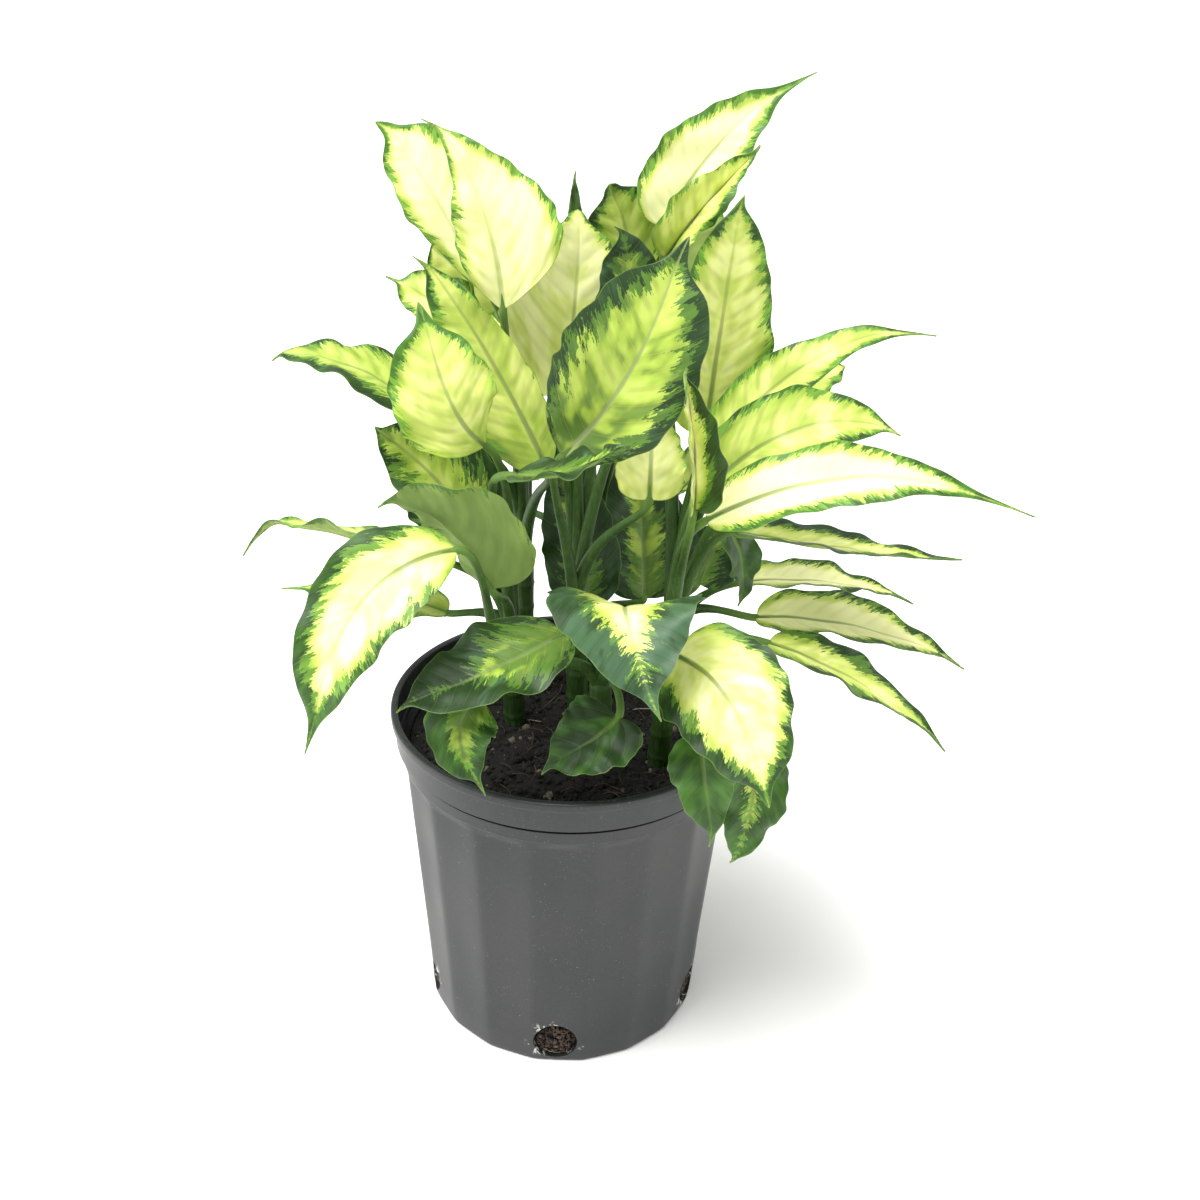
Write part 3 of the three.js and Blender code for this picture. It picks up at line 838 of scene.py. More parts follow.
@dataclass
class BladeMaker:
    """Makes a leaf's fine blade: quilted between its side veins, ruffled, with a rib and a drip tip.

    Lengths and vein_fade are in millimetres. Any other start or fade is a share of the way from the
    base to the tip, and margin_start is a share of the way from the midrib to the margin.
    """

    finish: LeafFinish
    rows: int = 64
    columns: int = 32
    narrow_rows: int = 32
    narrow_columns: int = 12
    narrow_blade: float = 12.0
    full_width: float = 40.0
    row_crowding: float = 1.08
    column_crowding: float = 1.15
    thickness: float = 0.6
    edge_thickness: float = 0.22
    margin_start: float = 0.75
    rib_depth: float = 1.2
    rib_width: float = 1.0
    rib_swell: float = 1.15
    rib_narrowing: float = 0.75
    channel_depth: float = 0.45
    vein_gap: float = SIDE_VEIN_GAP
    vein_lean: float = 0.62
    vein_curl: float = 0.42
    vein_fade: float = 4.0
    quilt: float = 0.42
    quilt_round: float = 0.75
    quilt_level: float = 0.6
    quilt_fade: float = 0.1
    ruffle: float = 1.0
    ruffle_waves: tuple[float, float] = (3.6, 5.4)
    curl: tuple[float, float] = (-1.6, 1.2)
    swell: float = 0.7
    swell_fade: float = 0.12
    wobble: float = 0.022
    wobble_waves: tuple[float, float] = (4.3, 7.9)
    drip_start: float = 0.83
    drip_length: float = 0.11
    drip_narrowing: float = 0.55
    tail_start: float = 0.86
    tail_bend: float = 3.6
    tail_droop: float = 0.7
    base_widening: float = 0.25
    base_reach: float = 0.25
    full_feather: float = 11.0
    least_feather: float = 0.2
    seed_step: float = 3.7
    face_share: float = 0.48

    def vein_place(self, leaf: Leaf, s: Array, away: Array) -> Array:
        """How far up the midrib the side vein through each point begins, in millimetres."""
        return leaf.length() * s - self.vein_lean * away - self.vein_curl * away ** 2 / (0.5 * leaf.width)

    def outline(self, leaf: Leaf, s: Array, v: Array, rng: np.random.Generator) -> Array:
        """Half the width, drawn out to a slender tip and a little uneven along each margin.

        Args:
            leaf: the leaf's figures.
            s: how far along each point is.
            v: how far across each point is.
            rng: the leaf's own random numbers.

        Returns:
            Half the width at each point.
        """
        uneven = np.ones_like(s)
        for waves in self.wobble_waves:
            starts = rng.uniform(0.0, 1.0, 2)
            turn = waves * s + np.where(v > 0.0, starts[0], starts[1])
            uneven += self.wobble * np.sin(2 * np.pi * turn) * np.sin(np.pi * s)
        drip = 1.0 - self.drip_narrowing * smooth(self.drip_start, self.drip_start + self.drip_length, s)
        return leaf.half_width(s, v) * uneven * drip

    def unevenness(self, s: Array, v: Array, scale: float, rng: np.random.Generator) -> Array:
        """How far each point stands off the plain bend: ruffled margins and a softly swelling blade.

        Args:
            s: how far along each point is.
            v: how far across each point is.
            scale: the strength, less on a small leaf.
            rng: the leaf's own random numbers.

        Returns:
            The height at each point, in millimetres.
        """
        side = np.abs(v)
        starts = rng.uniform(0.0, 1.0, 4)
        waves = rng.uniform(*self.ruffle_waves)
        curl = rng.uniform(*self.curl)
        turn = waves * s + np.where(v > 0.0, starts[0], starts[1])
        total = self.ruffle * side ** 3 * np.sin(2 * np.pi * turn)
        total += curl * side ** 4
        total += self.swell * np.sin(2 * np.pi * (1.7 * s + 0.6 * v + starts[2])) * side
        total += 0.5 * self.swell * np.sin(2 * np.pi * (3.1 * s - 0.9 * v + starts[3]))
        return total * scale * np.sin(np.pi * s) ** 0.7 * smooth(0.0, self.swell_fade, s)

    def quilting(self, vein: Array) -> Array:
        """How far the blade stands up between its side veins, as a share of the quilting's depth."""
        return np.abs(np.sin(np.pi * vein / self.vein_gap)) ** self.quilt_round - self.quilt_level

    def build(self, leaf: Leaf, seed: int) -> Piece:
        """Makes one blade.

        Args:
            leaf: the leaf's figures.
            seed: a whole number that sets its markings and ruffles apart from its neighbours'.

        Returns:
            The blade, standing for its CAD node.
        """
        is_narrow = leaf.width < self.narrow_blade
        rows, columns = (self.narrow_rows, self.narrow_columns) if is_narrow else (self.rows, self.columns)
        rng = np.random.default_rng(seed)
        s = (np.linspace(0.0, 1.0, rows + 1) ** self.row_crowding)[:, None] * np.ones((1, columns + 1))
        line = np.linspace(-1.0, 1.0, columns + 1)
        v = (np.sign(line) * np.abs(line) ** self.column_crowding)[None, :] * np.ones((rows + 1, 1))
        half = self.outline(leaf, s, v, rng)
        middle = leaf.surface(s, v, half)
        away = half * np.abs(v)
        scale = min(1.0, leaf.width / self.full_width)
        sideways = unit(rng.normal(size=3) - np.array((0.0, 0.0, self.tail_droop)))
        tail = np.maximum(0.0, (s - self.tail_start) / (1.0 - self.tail_start)) ** 2
        middle = middle + sideways * (tail * self.tail_bend * scale)[..., None]
        normal = unit(np.cross(np.gradient(middle, axis=1), np.gradient(middle, axis=0)))
        vein = self.vein_place(leaf, s, away)
        to_margin = smooth(1.0, self.margin_start, np.abs(v))
        on_blade = smooth(0.0, self.vein_fade, away) * to_margin * smooth(0.0, self.quilt_fade, s)
        quilting = self.quilt * scale * self.quilting(vein) * on_blade
        narrowing = self.rib_narrowing * s
        rib = np.exp(-(away / (self.rib_width * (self.rib_swell - narrowing))) ** 2) * (1.0 - narrowing)
        thick = self.edge_thickness + (self.thickness - self.edge_thickness) * to_margin
        shift = quilting + (0.0 if is_narrow else self.unevenness(s, v, scale, rng))
        upper = middle + normal * (shift + thick / 2 - self.channel_depth * rib)[..., None]
        lower = middle + normal * (shift - thick / 2 - self.rib_depth * rib)[..., None]
        piece = self.skin(leaf.name, upper, lower)
        self.mark(piece.data, leaf, s, v, half, vein, seed)
        self.unwrap(piece.data, np.stack(((v + 1.0) / 2.0, s), axis=-1))
        seat(piece, "leaf", "leaf_" + leaf.name)
        return piece

    def mark(self, mesh: Mesh, leaf: Leaf, s: Array, v: Array, half: Array,
             vein: Array, seed: int) -> None:
        """Keeps what the leaf's materials read, on the upper and the lower points alike.

        Args:
            mesh: the blade's mesh.
            leaf: the leaf's figures.
            s: how far along each point is.
            v: how far across each point is.
            half: half the blade's width at each point.
            vein: where the side vein through each point begins.
            seed: the whole number that sets the markings apart.
        """
        look = leaf.tone.value
        away = half * np.abs(v)
        widening = 1.0 + self.base_widening * smooth(self.base_reach, 0.0, s)
        closing = np.maximum(1.0 - (s / look.end) ** look.taper, -1.0)
        pale = np.where(v > 0.0, look.right, look.left) * widening * closing
        ones = np.ones_like(s)
        feather = look.feather * min(1.0, 0.5 + leaf.width / (2.0 * self.full_width))
        feather = feather * np.clip(half / self.full_feather, self.least_feather, 1.0)
        lay = (away, vein, ones * seed * self.seed_step)
        marks = (pale * half - away, feather, half - away)
        tone = (ones * look.centre, ones * look.green, ones * look.rib)
        for name, values in (("lay", lay), ("mark", marks), ("tone", tone)):
            rows = np.stack(values, axis=-1).reshape(-1, 3)
            keep(mesh, name, np.concatenate((rows, rows)))
        keep(mesh, "way", np.concatenate((s.ravel(), s.ravel())))

    def skin(self, name: str, upper: Array, lower: Array) -> Piece:
        """Closes an upper and a lower grid of points into one thin solid.

        Args:
            name: the blade's name.
            upper: the upper points, row by row.
            lower: the lower points, row by row.

        Returns:
            The blade, with the upper material above and round the margin and the lower one below.
        """
        rows, columns = upper.shape[0] - 1, upper.shape[1] - 1
        under = (rows + 1) * (columns + 1)
        at = np.arange(under).reshape(rows + 1, columns + 1)
        a, b, c, d = (grid.ravel() for grid in (at[:-1, :-1], at[:-1, 1:], at[1:, 1:], at[1:, :-1]))
        above = np.stack((a, b, c, d), axis=-1)
        below = np.stack((d, c, b, a), axis=-1) + under
        rim = np.concatenate((at[0, :], at[1:, -1], at[-1, -2::-1], at[-2:0:-1, 0]))
        after = np.roll(rim, -1)
        margin = np.stack((after, rim, rim + under, after + under), axis=-1)
        faces = np.concatenate((above, below, margin)).tolist()
        points = np.concatenate((upper.reshape(-1, 3), lower.reshape(-1, 3)))
        piece = mesh_piece(name, points, faces, (self.finish.upper, self.finish.lower))
        slots = np.zeros(len(faces), dtype=np.int32)
        slots[len(above):len(above) + len(below)] = 1
        piece.data.polygons.foreach_set("material_index", slots)
        return piece

    def unwrap(self, mesh: Mesh, places: Array) -> None:
        """Lays the upper face out on the left half of the UV square and the lower on the right.

        Args:
            mesh: the blade's mesh.
            places: how far across and along each point of a face is, from 0 to 1.
        """
        flat = places.reshape(-1, 2) * (self.face_share, 1.0)
        both = np.concatenate((flat, flat + (1.0 - self.face_share, 0.0)))
        corners = np.empty(len(mesh.loops), dtype=np.int32)
        mesh.loops.foreach_get("vertex_index", corners)
        layer = mesh.uv_layers.new(name="UVMap")
        layer.data.foreach_set("uv", both[corners].astype(np.float32).ravel())


# The plant's canes, with each leaf's own figures


@dataclass
class Cane:
    """One cane: where it stands in the soil, its top, and its leaves from the lowest stalk up."""

    name: str
    foot: tuple[float, float]
    top: Point
    leaves: list[Leaf]


CANES = [
    Cane("left", (-26, 8), (-28, 4, 196), [
        Leaf("left_upper_front", (-36, -28, 300), (-49, -38, 323), (-60, -25, 355), 42, (0.1, -0.9, 0.4),
             Tone.SPREAD, left=1.12, right=0.95, rise=0.7, fall=0.75, lobe=-0.8),
        Leaf("low_centre", (-22, -60, 301), (2, -68, 308), (21, -66, 320), 34, (-0.1, 0.12, 0.98),
             Tone.SHADED),
        Leaf("left_middle", (-39, -1, 242), (-61, -3, 275), (-88, -2, 297), 40, (0.1, -0.85, 0.5),
             Tone.FEATHERED, right=1.2),
        Leaf("left_underside", (-33, -40, 241), (-50, -48, 273), (-76, -53, 286), 46, (0.3, 0.8, 0.3),
             Tone.OLIVE, left=1.25, right=0.5),
        Leaf("left_drooping", (-45, -62, 269), (-81, -86, 254), (-99, -102, 199), 42, (-0.1, -0.7, 0.7),
             Tone.DROOPED, rise=0.7, via=(-34, -52, 206)),
        Leaf("far_left_thin", (-58, -6, 236), (-106, 0, 245), (-141, 2, 248), 34, (0, 0.4, 0.9),
             Tone.BUTTER, hook=(-8, 0, -15)),
        Leaf("left_low_back", (-57, 8, 202), (-93, 12, 209), (-131, 16, 207), 36, (0, 0, 1), Tone.BUTTER),
    ]),
    Cane("back_left", (-24, 44), (-24, 42, 215), [
        Leaf("top_left_back", (-36, 20, 346), (-59, 22, 386), (-80, 30, 415), 34, (-0.25, -0.85, 0.4),
             Tone.CREAM, hook=(-3, 0, 2), left=0.8, right=1.15, rise=0.95, fall=0.7),
        Leaf("top_left_front", (-31, 4, 347), (-40, 8, 389), (-61, 14, 422), 46, (-0.1, -0.9, 0.4),
             Tone.CREAM, left=0.65, right=1.28, rise=0.6, fall=1.6, lobe=-0.5),
        Leaf("upper_left_small", (-35, 46, 336), (-54, 48, 351), (-67, 50, 361), 30, (-0.6, -0.6, 0.5),
             Tone.BUTTER),
        Leaf("upper_left_tip", (-46, 14, 332), (-62, 16, 346), (-79, 20, 353), 32, (-0.2, -0.4, 0.9),
             Tone.BRIGHT),
        Leaf("left_upper", (-12, -12, 285), (-37, -7, 332), (-65, 2, 370), 40, (0.1, -0.9, 0.4),
             Tone.WASHED, right=0.62),
        Leaf("far_left_upper", (-61, 2, 299), (-96, 8, 319), (-131, 10, 322), 38, (0, -0.1, 1), Tone.DULL,
             wave=1),
    ]),
    Cane("centre", (4, 6), (2, 2, 210), [
        Leaf("centre_front", (-4, -38, 301), (22, -48, 342), (39, -34, 387), 58, (0, -0.93, 0.33),
             Tone.STREAKED, rise=0.75, fall=0.8, right=0.88),
        Leaf("centre_pale", (-6, 20, 304), (-2, 25, 345), (-1, 28, 384), 48, (0, -0.95, 0.3),
             Tone.FADED, left=1.3, right=0.8, rise=0.35, fall=0.5),
        Leaf("centre_top", (19, 46, 336), (20, 46, 364), (9, 46, 391), 36, (0.1, -0.9, 0.4),
             Tone.EDGED, fall=0.45),
        Leaf("centre_spear", (-3, 40, 345), (-3, 40, 372), (-4, 40, 396), 8, (0, -1, 0.2), Tone.PLAIN),
        Leaf("centre_dark_tip", (27, 18, 328), (22, 18, 355), (16, 18, 381), 35, (0, -0.9, 0.4), Tone.DARK),
        Leaf("centre_pale_back", (32, -20, 275), (32, -18, 296), (32, -14, 320), 30, (0, -0.9, 0.4),
             Tone.FADED),
    ]),
    Cane("front", (16, -18), (14, -24, 190), [
        Leaf("front_left", (-2, -56, 229), (-35, -80, 222), (-67, -94, 215), 42, (0, -0.31, 0.95),
             Tone.GLOOMY),
        Leaf("front_left_low", (-35, -72, 206), (-42, -84, 195), (-32, -90, 174), 30, (0, -0.85, 0.5),
             Tone.MUTED),
        Leaf("young_heart", (22, -66, 196), (11, -74, 189), (-9, -78, 178), 36, (0, -0.6, 0.8),
             Tone.NEW, rise=0.42, fall=0.8, wave=0.6, lobe=0.15),
        Leaf("front_centre", (24, -54, 239), (24, -90, 254), (35, -116, 228), 62, (0, -0.5, 0.85),
             Tone.FROSTED),
    ]),
    Cane("right", (42, -22), (44, -28, 192), [
        Leaf("front_right", (45, -62, 224), (66, -92, 220), (82, -104, 182), 50, (0.1, -0.8, 0.6),
             Tone.SUNLIT, fall=0.75),
        Leaf("front_right_low", (56, -78, 196), (58, -90, 181), (63, -96, 155), 28, (-0.2, -0.8, 0.5),
             Tone.PLAIN),
        Leaf("right_low_hanging", (79, -62, 182), (80, -72, 158), (73, -76, 127), 30, (0.1, -0.9, 0.4),
             Tone.HANGING),
        Leaf("young_folded", (48, -61, 290), (46, -63, 320), (40, -59, 348), 32, (0.3, -0.9, 0.3),
             Tone.SPLIT, fold=62, wave=1),
        Leaf("right_long", (54, -58, 284), (105, -68, 308), (158, -64, 300), 30, (0, -0.6, 0.8), Tone.WHITE,
             hook=(20, 0, -5)),
        Leaf("right_middle", (53, -28, 281), (90, -36, 315), (131, -30, 312), 37, (0, -0.6, 0.8),
             Tone.BUTTER),
        Leaf("right_lowest", (83, -56, 228), (119, -66, 217), (157, -74, 193), 31, (0, 0, 1), Tone.SLENDER,
             wave=0.8),
        Leaf("right_curled", (66, -8, 259), (74, -11, 241), (74, -13, 222), 22, (0.7, -0.6, 0.3),
             Tone.PLAIN),
        Leaf("right_thin_upper", (69, -24, 263), (113, -28, 259), (161, -30, 256), 36, (0, 0.17, 0.98),
             Tone.SLENDER, wave=0.8),
    ]),
    Cane("back_right", (44, 22), (46, 18, 200), [
        Leaf("right_upper", (55, -4, 277), (85, -4, 323), (138, 0, 349), 27, (0, -0.6, 0.8),
             Tone.BUTTER, hook=(9, 0, -6)),
        Leaf("right_upper_back", (73, 24, 280), (97, 28, 306), (119, 32, 319), 38, (0, -0.3, 0.95),
             Tone.BRIGHT),
        Leaf("right_thin_lower", (79, 14, 220), (117, 20, 218), (156, 22, 210), 36, (0, 0.1, 0.99),
             Tone.BUTTERY, wave=0.8),
        Leaf("right_low", (82, -14, 217), (126, -20, 217), (172, -24, 203), 38, (0, -0.1, 1), Tone.BUTTERY,
             wave=0.8),
        Leaf("right_inner", (56, 0, 226), (62, 2, 242), (65, 2, 258), 28, (0, -0.9, 0.4), Tone.SHADED),
        Leaf("upper_right", (56, 16, 291), (60, 12, 349), (64, 8, 399), 45, (0.1, -0.92, 0.35),
             Tone.BRIGHT),
        Leaf("top_right", (36, 34, 375), (51, 40, 403), (83, 46, 434), 40, (-0.1, -0.9, 0.4), Tone.WHITE,
             hook=(10, 0, 4)),
        Leaf("top_right_folded", (36, 26, 365), (51, 24, 388), (73, 22, 413), 28, (-0.3, -0.85, 0.4),
             Tone.STRIPED, fold=52),
    ]),
    Cane("back", (8, 50), (8, 54, 205), [
        Leaf("inner_left", (4, 36, 194), (0, 38, 234), (-10, 39, 284), 42, (-0.15, -0.95, 0.3), Tone.SHADED,
             left=0.8),
        Leaf("inner_right", (34, 44, 194), (31, 47, 236), (24, 49, 286), 44, (0.15, -0.95, 0.3),
             Tone.SHADED),
        Leaf("back_top_left", (-24, 66, 318), (-34, 84, 356), (-40, 96, 386), 36, (-0.3, 0.7, 0.6),
             Tone.BRIGHT),
        Leaf("back_top_right", (36, 66, 322), (48, 84, 356), (58, 96, 386), 36, (0.3, 0.7, 0.6),
             Tone.BUTTER),
        Leaf("back_upper", (6, 70, 304), (8, 96, 330), (8, 120, 340), 40, (0, 0.5, 0.85), Tone.LIME),
        Leaf("back_high_left", (-28, 72, 292), (-49, 100, 306), (-67, 130, 294), 42, (-0.2, 0.3, 0.9),
             Tone.BUTTER),
        Leaf("back_high_right", (33, 72, 294), (51, 102, 314), (68, 130, 298), 42, (0.2, 0.3, 0.9),
             Tone.BRIGHT),
        Leaf("back_middle", (5, 80, 280), (8, 118, 298), (8, 152, 281), 44, (0, 0.4, 0.9), Tone.CREAM),
        Leaf("back_low_left", (-38, 78, 228), (-70, 106, 230), (-85, 135, 200), 40, (-0.2, 0.3, 0.9),
             Tone.FEATHERED),
        Leaf("back_low_right", (50, 78, 236), (76, 106, 241), (90, 135, 218), 40, (0.2, 0.3, 0.9),
             Tone.BUTTER),
        Leaf("back_low", (12, 82, 200), (11, 115, 204), (6, 148, 172), 40, (0, 0.4, 0.9), Tone.DARK),
    ]),
]


# Canes and leaf stalks


@dataclass(frozen=True)
class StemColours:
    """Screen colours of the canes and stalks."""

    foot: str = "27401d"
    middle: str = "35521e"
    end: str = "638539"


class StemFinish:
    """Smooth green canes and stalks, paler towards the blade, with fine lengthwise streaks."""

    STREAK_GRAIN = (900.0, 60.0)
    BLOTCH_GRAIN = 90.0
    STREAK_DEPTH = 0.15

    def __init__(self) -> None:
        """Makes the material."""
        colours = StemColours()
        material, nodes, shader = surface("stem_green", 0.5, Specular_IOR_Level=0.25)
        along = nodes.attribute("along", plain=True)
        low = nodes.mix(nodes.spread(along, 0.0, 0.5), colours.foot, colours.middle)
        skin = nodes.mix(nodes.spread(along, 0.55, 1.0), low, colours.end)
        place = nodes.place()
        streak = nodes.noise(nodes.stretched(place, *self.STREAK_GRAIN), 1.0, 3.0)
        skin = nodes.mix(nodes.spread(streak, 0.45, 0.7, 0.0, 0.2), skin, colours.end)
        blotch = nodes.noise(place, self.BLOTCH_GRAIN, 3.0)
        skin = nodes.shade(skin, nodes.vary(blotch, 0.8, 1.12))
        nodes.feed(shader.inputs["Base Color"], skin)
        relief(nodes, shader, streak, self.STREAK_DEPTH, 0.5)
        self.material = material


@dataclass
class Stems:
    """The canes with their leaf stalks, swept along their lines by a geometry tree.

    Lengths are in millimetres. lowest_stalk, highest_stalk and top_start are shares of a cane's
    height, and stalk_rise and stalk_arrival are shares of the way from a stalk's start to its end.
    """

    finish: StemFinish
    soil_level: float = 145.0
    planting_depth: float = 23.7
    collar: float = 2.0
    cane_radius: float = 5.2
    cane_inset: float = 0.25
    cane_lean: float = 1.2
    scar_gap: float = 13.0
    scar_height: float = 0.45
    scar_width: float = 0.09
    top_start: float = 0.93
    top_narrowing: float = 0.45
    lowest_stalk: float = 0.35
    highest_stalk: float = 0.95
    stalk_rise: float = 0.6
    stalk_arrival: float = 0.15
    foot_radius: float = 3.6
    tip_radius: float = 1.7
    stalk_taper: float = 1.6
    stalk_gap: float = 0.3
    under_blade: float = 9.0
    tail_points: int = 6
    tail_depth: float = 1.0
    tail_share: float = 0.92
    tail_radius: float = 0.55
    stalk_points: int = 40
    cane_points: int = 90
    sides: int = 14

    def stalk_line(self, cane: Cane, leaf: Leaf, height: float) -> tuple[Array, Array]:
        """A leaf stalk's centre line and its thickness, from the cane to under the blade.

        Args:
            cane: the cane that it grows from.
            leaf: the leaf that it carries.
            height: how far up the cane it begins, from 0 to 1.

        Returns:
            The line's points, and the radius at each.
        """
        base = np.array(leaf.base, dtype=float)
        along = leaf.direction(np.array(0.0))
        foot = np.array((*cane.foot, self.soil_level), dtype=float)
        start = foot + (np.array(cane.top, dtype=float) - foot) * height
        end = base - self.stalk_gap * along
        reach = float(np.linalg.norm(end - start))
        rising = np.array(leaf.via) if leaf.via else start + np.array((0.0, 0.0, reach * self.stalk_rise))
        arriving = end - along * reach * self.stalk_arrival
        t = np.linspace(0.0, 1.0, self.stalk_points)[:, None]
        line = (start * (1 - t) ** 3 + rising * 3 * t * (1 - t) ** 2
                + arriving * 3 * t ** 2 * (1 - t) + end * t ** 3)
        narrowing = np.minimum(1, t[:, 0] * self.stalk_taper)
        radius = self.foot_radius + (self.tip_radius - self.foot_radius) * narrowing
        length = float(np.linalg.norm(np.array(leaf.tip) - base))
        parts = np.linspace(0.1, 1.0, self.tail_points) * self.under_blade / max(length, 1.0)
        facing = np.array(leaf.face) - along * float(np.dot(leaf.face, along))
        facing = facing / np.linalg.norm(facing)
        tail = leaf.midrib(parts) - facing * self.tail_depth
        narrow = np.linspace(self.tip_radius * self.tail_share, self.tail_radius, len(parts))
        return np.concatenate((line, tail)), np.concatenate((radius, narrow))

    def cane_line(self, cane: Cane) -> tuple[Array, Array]:
        """A cane's centre line and its thickness, with a raised leaf scar at each joint.

        Args:
            cane: the cane's figures.

        Returns:
            The line's points, and the radius at each.
        """
        foot = np.array((*cane.foot, self.soil_level - self.planting_depth))
        collar = np.array((*cane.foot, self.soil_level + self.collar))
        top = np.array(cane.top, dtype=float)
        t = np.linspace(0.0, 1.0, self.cane_points)
        level = foot[2] + t * (top[2] - foot[2])
        rise = np.clip((level - collar[2]) / (top[2] - collar[2]), 0.0, 1.0)
        lean = rise ** self.cane_lean
        x, y = (foot[side] + (top[side] - foot[side]) * lean for side in (0, 1))
        line = np.stack((x, y, level), axis=-1)
        phase = (line[:, 2] / self.scar_gap) % 1.0
        scar = np.exp(-((phase - 0.5) / self.scar_width) ** 2)
        radius = self.cane_radius - self.cane_inset + self.scar_height * scar
        radius = radius * (1.0 - self.top_narrowing * smooth(self.top_start, 1.0, t))
        return line, radius

    def build(self) -> None:
        """Makes one stem piece for each cane."""
        tree = swept_tree(self.finish.material)
        for cane in CANES:
            lines = [self.cane_line(cane)]
            last = len(cane.leaves) - 1
            for order, leaf in enumerate(cane.leaves):
                height = self.lowest_stalk + (self.highest_stalk - self.lowest_stalk) * order / last
                lines.append(self.stalk_line(cane, leaf, height))
            piece = self.sweep(tree, "stem_" + cane.name + "_grown", lines)
            seat(piece, "stem", "stem_" + cane.name)

    def sweep(self, tree: ShapeTree, name: str, lines: Sequence[tuple[Array, Array]]) -> Piece:
        """Sweeps a cane and its stalks into one mesh, marked with how far along its line each point is.

        Args:
            tree: the sweeping tree.
            name: the piece's name.
            lines: the points and radii of each line, the cane's first.

        Returns:
            The swept piece.
        """
        points = np.concatenate([line for line, _ in lines])
        radii = np.concatenate([radius for _, radius in lines])
        edges = []
        along = []
        first = 0
        for order, (line, _) in enumerate(lines):
            edges += [(first + step, first + step + 1) for step in range(len(line) - 1)]
            share = np.linspace(0.0, 1.0, len(line))
            along.append(share * 0.35 if order == 0 else 0.2 + 0.8 * share)
            first += len(line)
        host = mesh_piece(name, points, (), (), edges)
        keep(host.data, "thickness", radii * MM)
        keep(host.data, "along", np.concatenate(along))
        return tree.run(host, Sides=self.sides)


# The pot


@dataclass(frozen=True)
class PotColours:
    """Screen colours of the pot."""

    plastic: str = "212424"
    cool: str = "1d2223"
    dust: str = "82847d"
    residue: str = "d0d1ca"


class PotFinish:
    """Satin moulded plastic with a few specks of dust, dried water marks at the drain holes, and painted
    shade in the groove under the rim band.
    """

    FLOW_GRAIN = (120.0, 9.0)
    BROAD_GRAIN = 14.0
    MOTTLE_GRAIN = 700.0
    SPECK_GRAIN = 1300.0
    SPECK_PATCHES = 70.0
    CRUST_GRAIN = 420.0
    CRUST_PATCHES = 95.0
    SKIN_GRAIN = 900.0
    SKIN_DEPTH = 0.05
    DUST_SHARE = 0.55
    CRUST_SHARE = 0.85
    CRUST_ROUGHNESS = 0.35
    GROOVE_PAINTED_SHADE = 0.25
    CRUST_REACH = (1.05, 1.55)

    def __init__(self, pot: "Pot") -> None:
        """Makes the material.

        Args:
            pot: the pot, whose drain holes place the water marks.
        """
        colours = PotColours()
        material, nodes, shader = surface("pot_plastic", 0.42, Specular_IOR_Level=0.5)
        place = nodes.place()
        self.pot = pot
        self.nodes = nodes
        self.place = place
        broad = nodes.noise(place, self.BROAD_GRAIN, 2.0)
        skin = nodes.mix(nodes.spread(broad, 0.4, 0.6), colours.plastic, colours.cool)
        flow = nodes.noise(nodes.stretched(place, *self.FLOW_GRAIN), 1.0, 3.0)
        skin = nodes.shade(skin, nodes.vary(flow, 0.94, 1.07))
        mottle = nodes.noise(place, self.MOTTLE_GRAIN, 3.0, 0.7)
        skin = nodes.shade(skin, nodes.vary(mottle, 0.84, 1.16))
        speck = nodes.noise(place, self.SPECK_GRAIN, 2.0, 0.4)
        seldom = nodes.noise(place, self.SPECK_PATCHES, 3.0)
        dusty = nodes.times(nodes.spread(speck, 0.68, 0.75), nodes.spread(seldom, 0.45, 0.6))
        skin = nodes.mix(nodes.times(dusty, self.DUST_SHARE), skin, colours.dust)
        # painted shade: the plastic's colour is darkened to a quarter in the groove under the rim band
        skin = nodes.shade(skin, nodes.spread(self.painted_groove_shade(), 0.0, 1.0, 1.0, self.GROOVE_PAINTED_SHADE))
        crust = nodes.noise(place, self.CRUST_GRAIN, 4.0, 0.6)
        patch = nodes.noise(place, self.CRUST_PATCHES, 1.0)
        patchy = nodes.times(nodes.spread(crust, 0.5, 0.58), nodes.spread(patch, 0.5, 0.58))
        dried = nodes.times(self.near_holes(), patchy)
        skin = nodes.mix(nodes.times(dried, self.CRUST_SHARE), skin, colours.residue)
        nodes.feed(shader.inputs["Base Color"], skin)
        rough = nodes.plus(nodes.vary(broad, 0.4, 0.48), nodes.times(dried, self.CRUST_ROUGHNESS))
        nodes.feed(shader.inputs["Roughness"], rough)
        relief(nodes, shader, nodes.noise(place, self.SKIN_GRAIN, 3.0), self.SKIN_DEPTH, 0.3)
        self.material = material

    def painted_groove_shade(self) -> Socket:
        """Painted shade: the groove under the rim band, where little light comes, darkened in the plastic's
        colour.

        Returns:
            A socket that is 1 in the groove and 0 elsewhere.
        """
        nodes, foot, head = self.nodes, self.pot.groove_foot, self.pot.band_foot
        level = nodes.parts(self.place)[2]
        above = nodes.spread(level, (foot - 0.5) * MM, (foot + 0.2) * MM)
        below = nodes.spread(level, (head - 0.1) * MM, (head + 0.5) * MM, 1.0, 0.0)
        return nodes.times(above, below)

    def near_holes(self) -> Any:
        """The ring round each drain hole, where water dries.

        Returns:
            A socket that is 1 near a hole and 0 away from it.
        """
        nodes = self.nodes
        near, far = (self.pot.drain_radius * reach * MM for reach in self.CRUST_REACH)
        total: Any = 0.0
        for centre in self.pot.drain_centres():
            gap = nodes.add("ShaderNodeVectorMath", self.place, tuple(part * MM for part in centre),
                            operation="DISTANCE").outputs["Value"]
            total = nodes.math("MAXIMUM", nodes.spread(gap, near, far, 1.0, 0.0), total)
        return total


